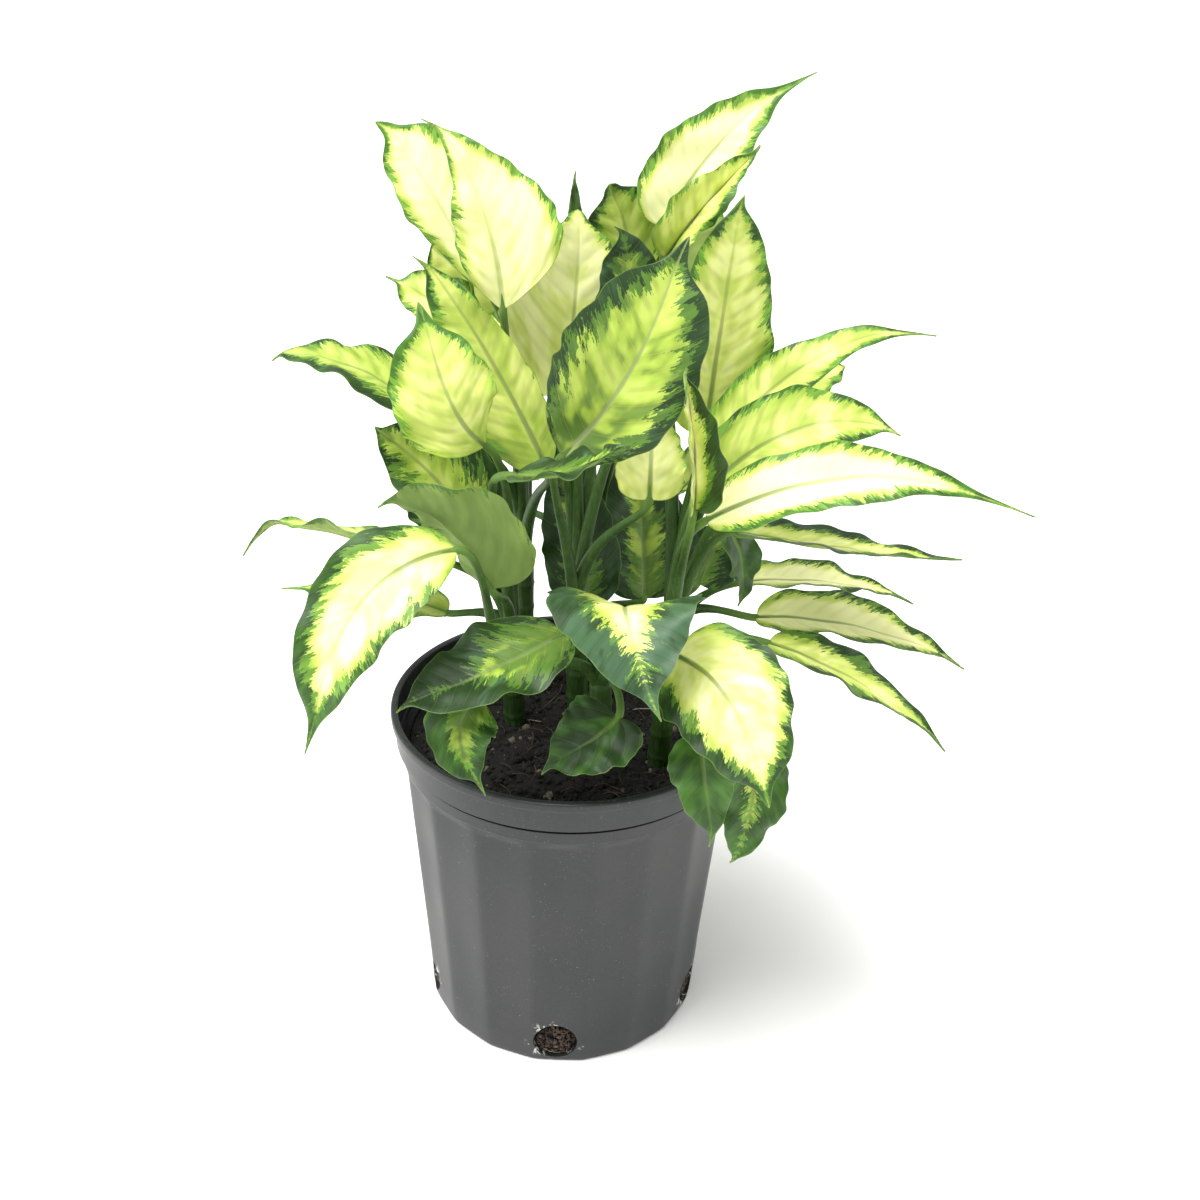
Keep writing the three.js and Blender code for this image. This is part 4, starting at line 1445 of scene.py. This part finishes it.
@dataclass
class Pot:
    """The nursery pot: rim band, groove, plain band, fluted wall, flat underside and drain holes."""

    rim_radius: float = 82.5
    height: float = 162.0
    base_radius: float = 66.6
    base_corner: float = 4.0
    base_inset: float = 0.4
    band_height: float = 15.8
    band_lower_radius: float = 80.4
    band_edge: float = 0.4
    neck_radius: float = 78.2
    groove_depth: float = 0.8
    groove_height: float = 2.4
    groove_edge: float = 0.25
    groove_undercut: float = 0.3
    lip: float = 1.6
    lip_height: float = 5.0
    lip_rounding: float = 0.4
    inner_rounding: float = 0.8
    wall: float = 1.8
    floor: float = 2.4
    flutes: int = 18
    flute_depth: float = 1.5
    flute_press: float = 1.45
    flute_round: float = 0.16
    flute_top: float = 137.5
    flute_arch: float = 4.0
    flute_foot: float = 22.0
    foot_share: float = 0.5
    step_depth: float = 0.35
    sides: int = 288
    drains: int = 5
    drain_radius: float = 10.4
    drain_level: float = 13.2
    drain_turn: float = -0.02
    drain_sides: int = 48
    drain_reach: float = 12.0
    sharp_deg: float = 38.0

    @property
    def band_foot(self) -> float:
        """The level of the rim band's lower edge."""
        return self.height - self.band_height

    @property
    def groove_foot(self) -> float:
        """The level of the groove's lower edge."""
        return self.band_foot - self.groove_height

    def wall_radius(self, z: float) -> float:
        """The wall's outer radius at a level, on the ridges between the flutes."""
        return self.base_radius + (self.neck_radius - self.base_radius) * z / self.band_foot

    def inner_radius(self, z: float) -> float:
        """The wall's inner radius at a level."""
        return self.wall_radius(z) - self.flute_depth - self.wall

    def drain_angles(self) -> list[float]:
        """The directions of the drain holes."""
        first = -math.pi / 2 + self.drain_turn
        return [first + 2 * math.pi * drain / self.drains for drain in range(self.drains)]

    def drain_centres(self) -> list[Point]:
        """Where the drain holes' axes leave the wall."""
        return [(self.base_radius * math.cos(angle), self.base_radius * math.sin(angle), self.drain_level)
                for angle in self.drain_angles()]

    def arc(self, middle: tuple[float, float], radius: float, start: float, end: float,
            steps: int = 4) -> list[tuple[float, float]]:
        """Points of a rounded corner of the profile, from one angle to another in degrees."""
        angles = np.radians(np.linspace(start, end, steps + 1))
        return [(middle[0] + radius * math.cos(angle), middle[1] + radius * math.sin(angle))
                for angle in angles]

    def profile(self) -> list[tuple[float, float]]:
        """The turned section, from the middle of the underside round to the middle of the floor."""
        return self.outer_wall() + self.rim_band() + self.inner_wall()

    def outer_wall(self) -> list[tuple[float, float]]:
        """The underside, the rounded foot and the fluted wall, up to the step over the flutes.

        Returns:
            The radius and the level of each point.
        """
        corner = self.base_corner / 2.0
        line = [(0.0, 0.0), (30.0, 0.0), (self.base_radius - self.base_corner, 0.0)]
        line += self.arc((self.wall_radius(corner) - corner - self.base_inset, corner), corner, -80, -8)
        for z in (*np.linspace(4.0, 124.0, 12), *np.linspace(127.0, self.flute_top, 12)):
            line.append((self.wall_radius(z) - self.step_depth * float(smooth(12.0, 30.0, z)), z))
        above = self.flute_top + 0.35
        return line + [(self.wall_radius(above) - 0.15, above), (self.wall_radius(above) + 0.1, above + 0.25)]

    def rim_band(self) -> list[tuple[float, float]]:
        """The groove, the deep rim band over it, and the rounded lip, to the inside of the band's foot.

        Returns:
            The radius and the level of each point.
        """
        groove, edge = self.groove_foot, self.groove_edge
        neck = self.neck_radius - self.groove_depth
        under = neck - self.groove_undercut
        band_corner = self.band_lower_radius - self.band_edge
        line = [(self.wall_radius(groove) + edge, groove), (self.wall_radius(groove), groove + edge),
                (neck, groove + 0.4), (under, groove + 1.1), (under, self.band_foot),
                (band_corner, self.band_foot)]
        line += self.arc((band_corner, self.band_foot + self.band_edge), self.band_edge, -60, 0, 2)
        lip_foot = self.height - self.lip_height
        line += [(self.rim_radius - self.lip - 0.3, lip_foot - 1.2), (self.rim_radius - self.lip, lip_foot)]
        lip_round = self.lip / 2 + self.lip_rounding
        line += self.arc((self.rim_radius - lip_round, lip_foot + self.lip), lip_round, -50, 0, 3)
        line += self.arc((self.rim_radius - lip_round, self.height - lip_round), lip_round, 0, 90, 5)
        inside = self.rim_radius - self.lip - self.wall
        inner_round = self.inner_rounding
        line += self.arc((inside + inner_round, self.height - inner_round), inner_round, 90, 180, 3)
        return line + [(inside - 0.2, lip_foot), (self.band_lower_radius - self.wall, self.band_foot + 0.5)]

    def inner_wall(self) -> list[tuple[float, float]]:
        """The inside, from under the band down to the middle of the floor.

        Returns:
            The radius and the level of each point.
        """
        line = [(self.inner_radius(self.band_foot - 4.0) + 0.3, self.band_foot - 3.6)]
        line += [(self.inner_radius(z), z) for z in np.linspace(self.band_foot - 5.0, self.floor + 1.0, 8)]
        return line + [(self.inner_radius(self.floor) - 1.0, self.floor), (0.0, self.floor)]

    def fluting(self, material: Material) -> ShapeTree:
        """Makes a tree that presses soft flutes into the outside of a plain turned wall.

        Args:
            material: the pot's material.

        Returns:
            The tree, with the flutes' count and sizes as inputs.
        """
        shape = ShapeTree("pressed_flutes")
        nodes = shape.nodes
        count = shape.number("Flutes")
        depth = shape.number("Depth")
        top = shape.number("Top")
        arch = shape.number("Arch")
        rounding = shape.number("Rounding")
        outside = shape.named("outside")
        x, y, z = nodes.parts(nodes.add("GeometryNodeInputPosition").outputs[0])
        angle = nodes.math("ARCTAN2", y, x)
        sine = nodes.math("SINE", nodes.times(nodes.times(angle, count), 0.5))
        hollow = nodes.math("SQRT", nodes.plus(nodes.times(sine, sine), nodes.times(rounding, rounding)))
        under_arch = nodes.spread(nodes.less(top, z), 0.0, arch)
        over_foot = nodes.spread(z, 0.0, self.flute_foot * MM, self.foot_share, 1.0)
        fade = nodes.times(under_arch, over_foot)
        press = nodes.times(nodes.times(nodes.less(hollow, rounding), depth), nodes.times(fade, outside))
        inwards = nodes.times(press, -1.0)
        offset = nodes.vector(nodes.times(nodes.math("COSINE", angle), inwards),
                              nodes.times(nodes.math("SINE", angle), inwards), 0.0)
        moved = nodes.add("GeometryNodeSetPosition", shape.geometry)
        nodes.feed(moved.inputs["Offset"], offset)
        shape.finish(moved.outputs[0], material)
        return shape

    def build(self) -> None:
        """Makes the pot: turned, fluted, then bored."""
        finish = PotFinish(self)
        rings = self.profile()[1:-1]
        angles = circle(self.sides)
        points = [(0.0, 0.0, 0.0), (0.0, 0.0, self.floor)]
        outer = [0.0, 0.0]
        for radius, z in rings:
            points += [(radius * math.cos(angle), radius * math.sin(angle), z) for angle in angles]
            is_outer = radius > self.inner_radius(z) + 0.6 * self.wall and z <= self.flute_top
            outer += [1.0 if is_outer else 0.0] * self.sides
        faces = closed_faces(len(rings), self.sides)
        host = mesh_piece("nursery_pot", np.array(points), faces, (finish.material,))
        keep(host.data, "outside", np.array(outer))
        piece = self.fluting(finish.material).run(
            host, Flutes=float(self.flutes), Depth=self.flute_press * MM, Top=self.flute_top * MM,
            Arch=self.flute_arch * MM, Rounding=self.flute_round)
        self.bore(piece)
        seat(piece, "pot", "pot")

    def make_cutter(self, name: str, angle: float, centre: Point) -> Piece:
        """Makes a round bar that lies through the wall.

        Args:
            name: the bar's name.
            angle: the direction that it points in.
            centre: its middle.

        Returns:
            The bar.
        """
        sides = self.drain_sides
        outward = np.array((math.cos(angle), math.sin(angle), 0.0))
        sideways = np.array((-math.sin(angle), math.cos(angle), 0.0))
        turn = circle(sides)
        ring = (np.outer(np.cos(turn), sideways) + np.outer(np.sin(turn), (0, 0, 1))) * self.drain_radius
        near, far = (ring + np.array(centre) + outward * reach
                     for reach in (-self.drain_reach, self.drain_reach))
        ends = [list(range(sides - 1, -1, -1)), list(range(sides, 2 * sides))]
        return mesh_piece(name, np.concatenate((near, far)), ring_faces(2, sides) + ends, (), sharp_deg=None)

    def bore(self, piece: Piece) -> None:
        """Cuts the drain holes through the foot of the wall.

        Args:
            piece: the fluted pot.
        """
        holes = enumerate(zip(self.drain_angles(), self.drain_centres()))
        cutters = [self.make_cutter(f"drain_cutter_{number}", angle, centre)
                   for number, (angle, centre) in holes]
        for cutter in cutters:
            cut = piece.modifiers.new(cutter.name, "BOOLEAN")
            cut.operation = "DIFFERENCE"
            cut.solver = "EXACT"
            cut.object = cutter
        graph = bpy.context.evaluated_depsgraph_get()
        bored = bpy.data.meshes.new_from_object(piece.evaluated_get(graph), depsgraph=graph)
        piece.modifiers.clear()
        piece.data = bored
        smooth_faces(bored, self.sharp_deg)
        for cutter in cutters:
            bpy.data.objects.remove(cutter)


# The soil


@dataclass(frozen=True)
class SoilColours:
    """Screen colours of the soil."""

    dark: str = "080705"
    brown: str = "17130f"
    pale: str = "645b4e"
    dry_dark: str = "2b231d"
    dry_brown: str = "57483a"
    fibre: str = "43352a"
    root: str = "4b3a2c"
    pale_root: str = "a8977c"


class SoilFinish:
    """Dark damp potting mix, its crumbs, its coir fibres and its roots."""

    CLUMP_GRAIN = 160.0
    SPECK_GRAIN = 620.0
    SPECK_SHARE = 0.6
    PITTED_GRAIN = 420.0
    PITTED_DEPTH = 1.2
    CRUMB_GRAIN = 900.0
    CRUMB_DEPTH = 0.4
    STRAND_GRAIN = 240.0
    STRAND_DEPTH = 0.1

    def __init__(self) -> None:
        """Makes the materials."""
        self.colours = colours = SoilColours()
        self.ground = self.make_ground()
        self.crumb = self.make_crumb("soil_crumb", colours.dark, colours.brown)
        self.dry_crumb = self.make_crumb("dry_crumb", colours.dry_dark, colours.dry_brown)
        self.fibre = self.make_strand("soil_fibre", colours.fibre, 0.97)
        self.root = self.make_strand("soil_root", colours.root, 0.9)

    def make_ground(self) -> Material:
        """Makes the material of the soil's body, with light specks.

        Returns:
            The material.
        """
        look = self.colours
        material, nodes, shader = surface("soil_ground", 0.92)
        place = nodes.place()
        clump = nodes.noise(place, self.CLUMP_GRAIN, 5.0, 0.65)
        earth = nodes.mix(nodes.spread(clump, 0.4, 0.68), look.dark, look.brown)
        speck = nodes.noise(place, self.SPECK_GRAIN, 2.0)
        earth = nodes.mix(nodes.spread(speck, 0.68, 0.74, 0.0, self.SPECK_SHARE), earth, look.pale)
        nodes.feed(shader.inputs["Base Color"], earth)
        pits = nodes.noise(place, self.PITTED_GRAIN, 6.0, 0.7)
        relief(nodes, shader, pits, self.PITTED_DEPTH, 0.9)
        return material

    def make_crumb(self, name: str, dark: str, brown: str) -> Material:
        """Makes the material of crumbs, each of its own shade.

        Args:
            name: the material's name.
            dark: the darkest crumbs' colour.
            brown: the lightest usual crumbs' colour.

        Returns:
            The material.
        """
        material, nodes, shader = surface(name, 0.9)
        tint = nodes.attribute("tint", plain=True)
        earth = nodes.mix(nodes.spread(tint, 0.2, 0.9, smooth_step=False), dark, brown)
        earth = nodes.mix(nodes.spread(tint, 0.955, 0.97), earth, self.colours.pale)
        grain = nodes.noise(nodes.place(), self.CRUMB_GRAIN, 4.0)
        nodes.feed(shader.inputs["Base Color"], nodes.shade(earth, nodes.vary(grain, 0.7, 1.25)))
        relief(nodes, shader, grain, self.CRUMB_DEPTH, 0.8)
        return material

    def make_strand(self, name: str, colour: str, palest: float) -> Material:
        """Makes the material of dry fibres or roots, each of its own shade.

        Args:
            name: the material's name.
            colour: the strands' usual colour.
            palest: the tint past which a strand is pale.

        Returns:
            The material.
        """
        material, nodes, shader = surface(name, 0.75)
        tint = nodes.attribute("tint", plain=True)
        patch = nodes.noise(nodes.place(), self.STRAND_GRAIN, 3.0)
        strand = nodes.shade(colour, nodes.spread(tint, 0.0, 0.9, 0.5, 1.25, smooth_step=False))
        strand = nodes.mix(nodes.spread(tint, palest, palest + 0.02), strand, self.colours.pale_root)
        nodes.feed(shader.inputs["Base Color"], nodes.shade(strand, nodes.vary(patch, 0.6, 1.25)))
        relief(nodes, shader, patch, self.STRAND_DEPTH, 0.4)
        return material


class Grain(Enum):
    """What is strewn over the soil: how far each copy turns about each axis, in radians."""

    CRUMB = (6.28, 6.28, 6.28)
    FIBRE = (0.5, 0.5, 6.28)


@dataclass
class Soil:
    """The potting mix: its body, the crumbs and fibres on it, and the roots that show in the holes.

    Lengths are in millimetres. The crumbs and fibres are counted by the square metre.
    """

    pot: Pot
    finish: SoilFinish
    level: float = 145.0
    mound: float = 3.0
    shoulder: float = 2.0
    clearance: float = 0.35
    lumps: float = 1.6
    roughness: float = 0.55
    ripples: int = 60
    ripple_waves: tuple[float, float] = (0.15, 1.1)
    rings: int = 44
    wall_rings: int = 14
    sides: int = 160
    host_points: int = 60
    seed: int = 7
    skew: float = 2.2
    tint_seed: int = 23
    crumbs: float = 95000.0
    fibres: float = 11000.0
    fibre_lift: float = 1.1
    hole_crumbs: float = 620000.0
    hole_swell: float = 1.7
    hole_rings: int = 6
    hole_sides: int = 24
    roots: int = 13
    root_points: int = 20
    root_step: float = 1.1
    root_start: float = 8.0
    root_reach: float = 10.5
    root_taper: float = 0.6
    root_sides: int = 7

    def top_height(self, x: Array, y: Array) -> Array:
        """How high the lumpy surface stands.

        Args:
            x: how far to the right each place is.
            y: how far back each place is.

        Returns:
            The level at each place.
        """
        edge = self.pot.inner_radius(self.level) - self.clearance
        radius = np.hypot(x, y)
        swell = self.level - self.mound * (radius / edge) ** 2
        angle = np.arctan2(y, x)
        turn = radius / 6.0
        lump = np.sin(3 * angle + turn) + np.sin(7 * angle - turn)
        rng = np.random.default_rng(self.seed)
        rough = np.zeros_like(x)
        for _ in range(self.ripples):
            wave = rng.uniform(*self.ripple_waves)
            heading = rng.uniform(0, 2 * math.pi)
            rough += 0.22 / (0.4 + wave) * np.sin(
                wave * (x * math.cos(heading) + y * math.sin(heading)) + rng.uniform(0, 6.3))
        return swell + self.lumps * lump / 2 + self.roughness * rough

    def build(self) -> None:
        """Makes the soil's body and all that lies on it."""
        seat(self.make_body(), "soil", "soil")
        for make in (self.make_crumbs, self.make_fibres, self.make_hole_crumbs, self.make_roots):
            seat(make(), "soil")

    def make_body(self) -> Piece:
        """Makes the soil itself, which fills the pot.

        Returns:
            The soil's body.
        """
        bottom = self.pot.floor + self.clearance
        edge_level = self.level - self.mound - self.shoulder
        edge = self.pot.inner_radius(edge_level) - self.clearance
        angles = circle(self.sides)
        middle = float(self.top_height(np.zeros(1), np.zeros(1))[0])
        grids = [np.array(((0.0, 0.0, bottom), (0.0, 0.0, middle)))]
        for z in np.linspace(bottom, edge_level, self.wall_rings):
            radius = self.pot.inner_radius(float(z)) - self.clearance
            x, y = radius * np.cos(angles), radius * np.sin(angles)
            grids.append(np.stack((x, y, np.full(self.sides, z)), axis=-1))
        for ring in range(self.rings):
            radius = edge * (1.0 - ring / self.rings)
            x, y = radius * np.cos(angles), radius * np.sin(angles)
            grids.append(np.stack((x, y, self.top_height(x, y)), axis=-1))
        faces = closed_faces(self.wall_rings + self.rings, self.sides)
        return mesh_piece("potting_soil", np.concatenate(grids), faces, (self.finish.ground,), sharp_deg=80.0)

    def top_host(self, name: str, reach: float) -> Piece:
        """Makes a copy of the soil's top for a tree to scatter over.

        Args:
            name: the copy's name.
            reach: the part of the top's radius that it takes in.

        Returns:
            The copy.
        """
        edge = (self.pot.inner_radius(self.level) - self.clearance) * reach
        count = self.host_points
        line = np.linspace(-edge, edge, count)
        x, y = (grid.ravel() for grid in np.meshgrid(line, line))
        points = np.stack((x, y, self.top_height(x, y)), axis=-1)
        shift = line[1] / count
        corners = [row * count + column for row in range(count - 1) for column in range(count - 1)
                   if math.hypot(line[column] + shift, line[row]) < edge]
        faces = [(low, low + 1, low + count + 1, low + count) for low in corners]
        return mesh_piece(name, points, faces, ())

    def scatter_tree(self, name: str, grain: Grain, material: Material) -> ShapeTree:
        """Makes a tree that strews turned and scaled copies of one grain over the host.

        Args:
            name: the tree's name.
            grain: which grain.
            material: the grain's material.

        Returns:
            The tree, with its density, smallest and largest size and seed as inputs.
        """
        shape = ShapeTree(name)
        nodes = shape.nodes
        density = shape.number("Density")
        small = shape.number("Smallest")
        large = shape.number("Largest")
        seed = shape.number("Seed", whole=True)
        strewn = nodes.add("GeometryNodeDistributePointsOnFaces", shape.geometry)
        nodes.feed(strewn.inputs["Density"], density)
        nodes.feed(strewn.inputs["Seed"], seed)
        copy = self.crumb_grain(nodes) if grain is Grain.CRUMB else self.fibre_grain(nodes)
        spin = nodes.add("FunctionNodeRandomValue", data_type="FLOAT_VECTOR")
        spin.inputs[1].default_value = grain.value
        nodes.feed(spin.inputs["Seed"], seed)
        skewed = nodes.math("POWER", self.random_share(nodes, seed), self.skew)
        scale = nodes.plus(small, nodes.times(skewed, nodes.less(large, small)))
        placed = nodes.add("GeometryNodeInstanceOnPoints", strewn.outputs[0])
        nodes.feed(placed.inputs["Instance"], copy)
        nodes.feed(placed.inputs["Rotation"], spin.outputs[0])
        nodes.feed(placed.inputs["Scale"], scale)
        marked = nodes.add("GeometryNodeStoreNamedAttribute", placed.outputs[0],
                           data_type="FLOAT", domain="INSTANCE")
        marked.inputs["Name"].default_value = "tint"
        nodes.feed(marked.inputs["Value"], self.random_share(nodes, self.tint_seed))
        shape.finish(marked.outputs[0], material)
        return shape

    def random_share(self, nodes: Nodes, seed: Any) -> Socket:
        """A random number from 0 to 1 for each copy, by a seed."""
        inputs = (None, None, 0.0, 1.0, None, None, None, None, seed)
        return nodes.add("FunctionNodeRandomValue", *inputs, data_type="FLOAT").outputs[1]

    def crumb_grain(self, nodes: Nodes) -> Socket:
        """Makes one uneven crumb, a unit across.

        Args:
            nodes: the tree's nodes.

        Returns:
            The crumb's geometry.
        """
        ball = nodes.add("GeometryNodeMeshIcoSphere", 0.5, 2)
        place = nodes.add("GeometryNodeInputPosition").outputs[0]
        push = nodes.spread(nodes.noise(place, 2.6, 2.0, 0.5), 0.25, 0.75, 0.55, 1.25)
        shaped = nodes.add("ShaderNodeVectorMath", place, operation="SCALE")
        nodes.feed(shaped.inputs["Scale"], push)
        moved = nodes.add("GeometryNodeSetPosition", ball.outputs[0])
        nodes.feed(moved.inputs["Position"], shaped.outputs[0])
        return moved.outputs[0]

    def fibre_grain(self, nodes: Nodes) -> Socket:
        """Makes one bent fibre, a unit long.

        Args:
            nodes: the tree's nodes.

        Returns:
            The fibre's geometry.
        """
        start, middle, end = (-0.5, 0.0, 0.0), (0.05, 0.3, 0.18), (0.5, 0.05, 0.03)
        bow = nodes.add("GeometryNodeCurveQuadraticBezier", 7, start, middle, end)
        section = nodes.add("GeometryNodeCurvePrimitiveCircle", 5)
        section.inputs["Radius"].default_value = 0.024
        swept = nodes.add("GeometryNodeCurveToMesh", bow.outputs[0], section.outputs[0])
        swept.inputs["Fill Caps"].default_value = True
        return swept.outputs[0]

    def make_crumbs(self) -> Piece:
        """Strews the crumbs thickly over the ground.

        Returns:
            The crumbs.
        """
        tree = self.scatter_tree("strewn_crumbs", Grain.CRUMB, self.finish.crumb)
        host = self.top_host("soil_crumbs", 0.985)
        return tree.run(host, Density=self.crumbs, Smallest=0.9 * MM, Largest=5.0 * MM, Seed=11)

    def make_fibres(self) -> Piece:
        """Strews coir and bark fibres over the crumbs.

        Returns:
            The fibres.
        """
        tree = self.scatter_tree("strewn_fibres", Grain.FIBRE, self.finish.fibre)
        host = self.top_host("soil_fibres", 0.93)
        host.data.transform(Matrix.Translation((0.0, 0.0, self.fibre_lift * MM)))
        return tree.run(host, Density=self.fibres, Smallest=3.0 * MM, Largest=12.0 * MM, Seed=5)

    def swell(self, along: float, z: float) -> float:
        """How far the soil and the roots press out into a drain hole, at a place round it and a level."""
        away = math.hypot(along, z - self.pot.drain_level) / (self.pot.drain_radius - 0.6)
        return self.hole_swell * max(0.0, 1.0 - away * away) ** 0.5

    def hole_place(self, angle: float, along: float, z: float, out: float) -> Point:
        """A place on the soil's side by a drain hole.

        Args:
            angle: the hole's direction.
            along: how far round the wall from the hole's middle.
            z: the level.
            out: how far off the soil's side.

        Returns:
            The place, in millimetres.
        """
        radius = self.pot.inner_radius(z) - self.clearance + self.swell(along, z) + out
        turn = angle + along / self.pot.base_radius
        return radius * math.cos(turn), radius * math.sin(turn), z

    def make_hole_crumbs(self) -> Piece:
        """Makes the crumbs that press out into the drain holes.

        Returns:
            The crumbs.
        """
        reach = self.pot.drain_radius - 0.9
        rings, sides = self.hole_rings, self.hole_sides
        points, faces = [], []
        for angle in self.pot.drain_angles():
            faces += ring_faces(rings + 1, sides, len(points))
            for ring in range(rings + 1):
                away = reach * ring / rings
                for side in range(sides):
                    turn = 2 * math.pi * side / sides
                    level = self.pot.drain_level + away * math.sin(turn)
                    points.append(self.hole_place(angle, away * math.cos(turn), level, -0.3))
        host = mesh_piece("hole_crumbs", np.array(points), faces, ())
        tree = self.scatter_tree("pressed_crumbs", Grain.CRUMB, self.finish.dry_crumb)
        return tree.run(host, Density=self.hole_crumbs, Smallest=0.6 * MM, Largest=2.6 * MM, Seed=3)

    def make_roots(self) -> Piece:
        """Makes the roots that wander over the soil in each drain hole, one of them pale.

        Returns:
            The roots.
        """
        rng = np.random.default_rng(31)
        start, reach, middle = self.root_start, self.root_reach, self.pot.drain_level
        lowest, highest = self.pot.floor + 1.2, middle + reach
        points, edges, radii, tints = [], [], [], []
        for angle in self.pot.drain_angles():
            for number in range(self.roots):
                along = rng.uniform(-start, start)
                z = middle + rng.uniform(-start, start)
                heading = rng.uniform(0, 2 * math.pi)
                bend = rng.uniform(-0.16, 0.16)
                thick = rng.uniform(0.14, 0.36)
                tint = 1.0 if number == 0 else rng.uniform(0.0, 0.89)
                for step in range(self.root_points):
                    heading += bend + rng.normal(0, 0.3)
                    along = max(-reach, min(along + self.root_step * math.cos(heading), reach))
                    z = max(lowest, min(z + self.root_step * math.sin(heading), highest))
                    if step:
                        edges.append((len(points) - 1, len(points)))
                    points.append(self.hole_place(angle, along, z, rng.uniform(-0.1, 0.5)))
                    radii.append(thick * (1.0 - self.root_taper * step / self.root_points))
                    tints.append(tint)
        host = mesh_piece("soil_roots", np.array(points), (), (), edges)
        keep(host.data, "thickness", np.array(radii) * MM)
        keep(host.data, "tint", np.array(tints))
        return swept_tree(self.finish.root).run(host, Sides=self.root_sides)


# The studio


@dataclass
class Studio:
    """A pale floor, soft light and the camera at the photograph's angle.

    Places are in millimetres. sun_way is the way from the plant to the sun, and sun_softness how
    wide it looks, which softens its shadows. nearest_m is in metres.
    """

    camera_place: Point = (12.8, -593.8, 533.9)
    elevation_deg: float = 28.195
    roll_deg: float = 1.948
    lens_mm: float = 45.0
    sensor_mm: float = 36.0
    nearest_m: float = 0.01
    floor_size: float = 30000.0
    floor_colour: str = "fbfbf8"
    sun_way: Point = (-0.3, -0.18, 1.0)
    sun_power: float = 4.2
    sun_softness_deg: float = 40.0
    left_place: Point = (-1300.0, -100.0, 500.0)
    right_place: Point = (1400.0, 100.0, 500.0)
    side_size: float = 700.0
    side_power: float = 6.0
    lights_aim: Point = (0.0, 0.0, 220.0)
    sky_power: float = 0.64

    def build(self) -> None:
        """Makes the camera, the floor, the lights and the sky."""
        self.make_camera()
        self.make_floor()
        self.make_sun()
        self.make_side_light("left_light", self.left_place)
        self.make_side_light("right_light", self.right_place)
        world = bpy.data.worlds.new("soft_sky")
        world.use_nodes = True
        sky = world.node_tree.nodes["Background"]
        sky.inputs["Color"].default_value = (1.0, 1.0, 1.0, 1.0)
        sky.inputs["Strength"].default_value = self.sky_power
        bpy.context.scene.world = world
        bpy.context.scene.view_settings.view_transform = "Standard"

    def make_camera(self) -> None:
        """Places the camera."""
        data = bpy.data.cameras.new("photo_camera")
        data.lens = self.lens_mm
        data.sensor_width = self.sensor_mm
        data.clip_start = self.nearest_m
        camera = new_object("photo_camera", data)
        tilt = math.radians(self.elevation_deg)
        roll = math.radians(self.roll_deg)
        forward = Vector((0.0, math.cos(tilt), -math.sin(tilt)))
        up = Vector((0.0, math.sin(tilt), math.cos(tilt)))
        right = Vector((1.0, 0.0, 0.0))
        turned_right = right * math.cos(roll) + up * math.sin(roll)
        turned_up = up * math.cos(roll) - right * math.sin(roll)
        turn = Matrix((turned_right, turned_up, -forward)).transposed().to_4x4()
        camera.matrix_world = Matrix.Translation(Vector(self.camera_place) * MM) @ turn
        bpy.context.scene.camera = camera

    def make_floor(self) -> None:
        """Lays the floor."""
        half = self.floor_size / 2
        corners = np.array(((-half, -half, 0), (half, -half, 0), (half, half, 0), (-half, half, 0)))
        material, _, shader = surface("studio_floor", 0.7)
        shader.inputs["Base Color"].default_value = linear(self.floor_colour)
        mesh_piece("studio_floor", corners, [(0, 1, 2, 3)], (material,), sharp_deg=None)

    def make_sun(self) -> None:
        """Lights everything evenly from one side."""
        data = bpy.data.lights.new("key_light", "SUN")
        data.energy = self.sun_power
        data.angle = math.radians(self.sun_softness_deg)
        light = new_object("key_light", data)
        light.matrix_world = (-Vector(self.sun_way)).to_track_quat("-Z", "Y").to_matrix().to_4x4()

    def make_side_light(self, name: str, place: Point) -> None:
        """Hangs one soft square light that looks at the plant's middle.

        Args:
            name: the light's name.
            place: where it hangs.
        """
        data = bpy.data.lights.new(name, "AREA")
        data.shape = "SQUARE"
        data.size = self.side_size * MM
        data.energy = self.side_power
        light = new_object(name, data)
        spot = Vector(place) * MM
        turn = (Vector(self.lights_aim) * MM - spot).to_track_quat("-Z", "Y").to_matrix().to_4x4()
        light.matrix_world = Matrix.Translation(spot) @ turn


def main() -> None:
    """Builds the plant, its pot and the studio."""
    logging.basicConfig(level=logging.INFO, format="%(name)s: %(message)s")
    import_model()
    Studio().build()
    pot = Pot()
    pot.build()
    Soil(pot, SoilFinish()).build()
    Stems(StemFinish()).build()
    maker = BladeMaker(LeafFinish())
    leaves = [leaf for cane in CANES for leaf in cane.leaves]
    for seed, leaf in enumerate(leaves):
        maker.build(leaf, seed)


if __name__ == "__main__":
    main()
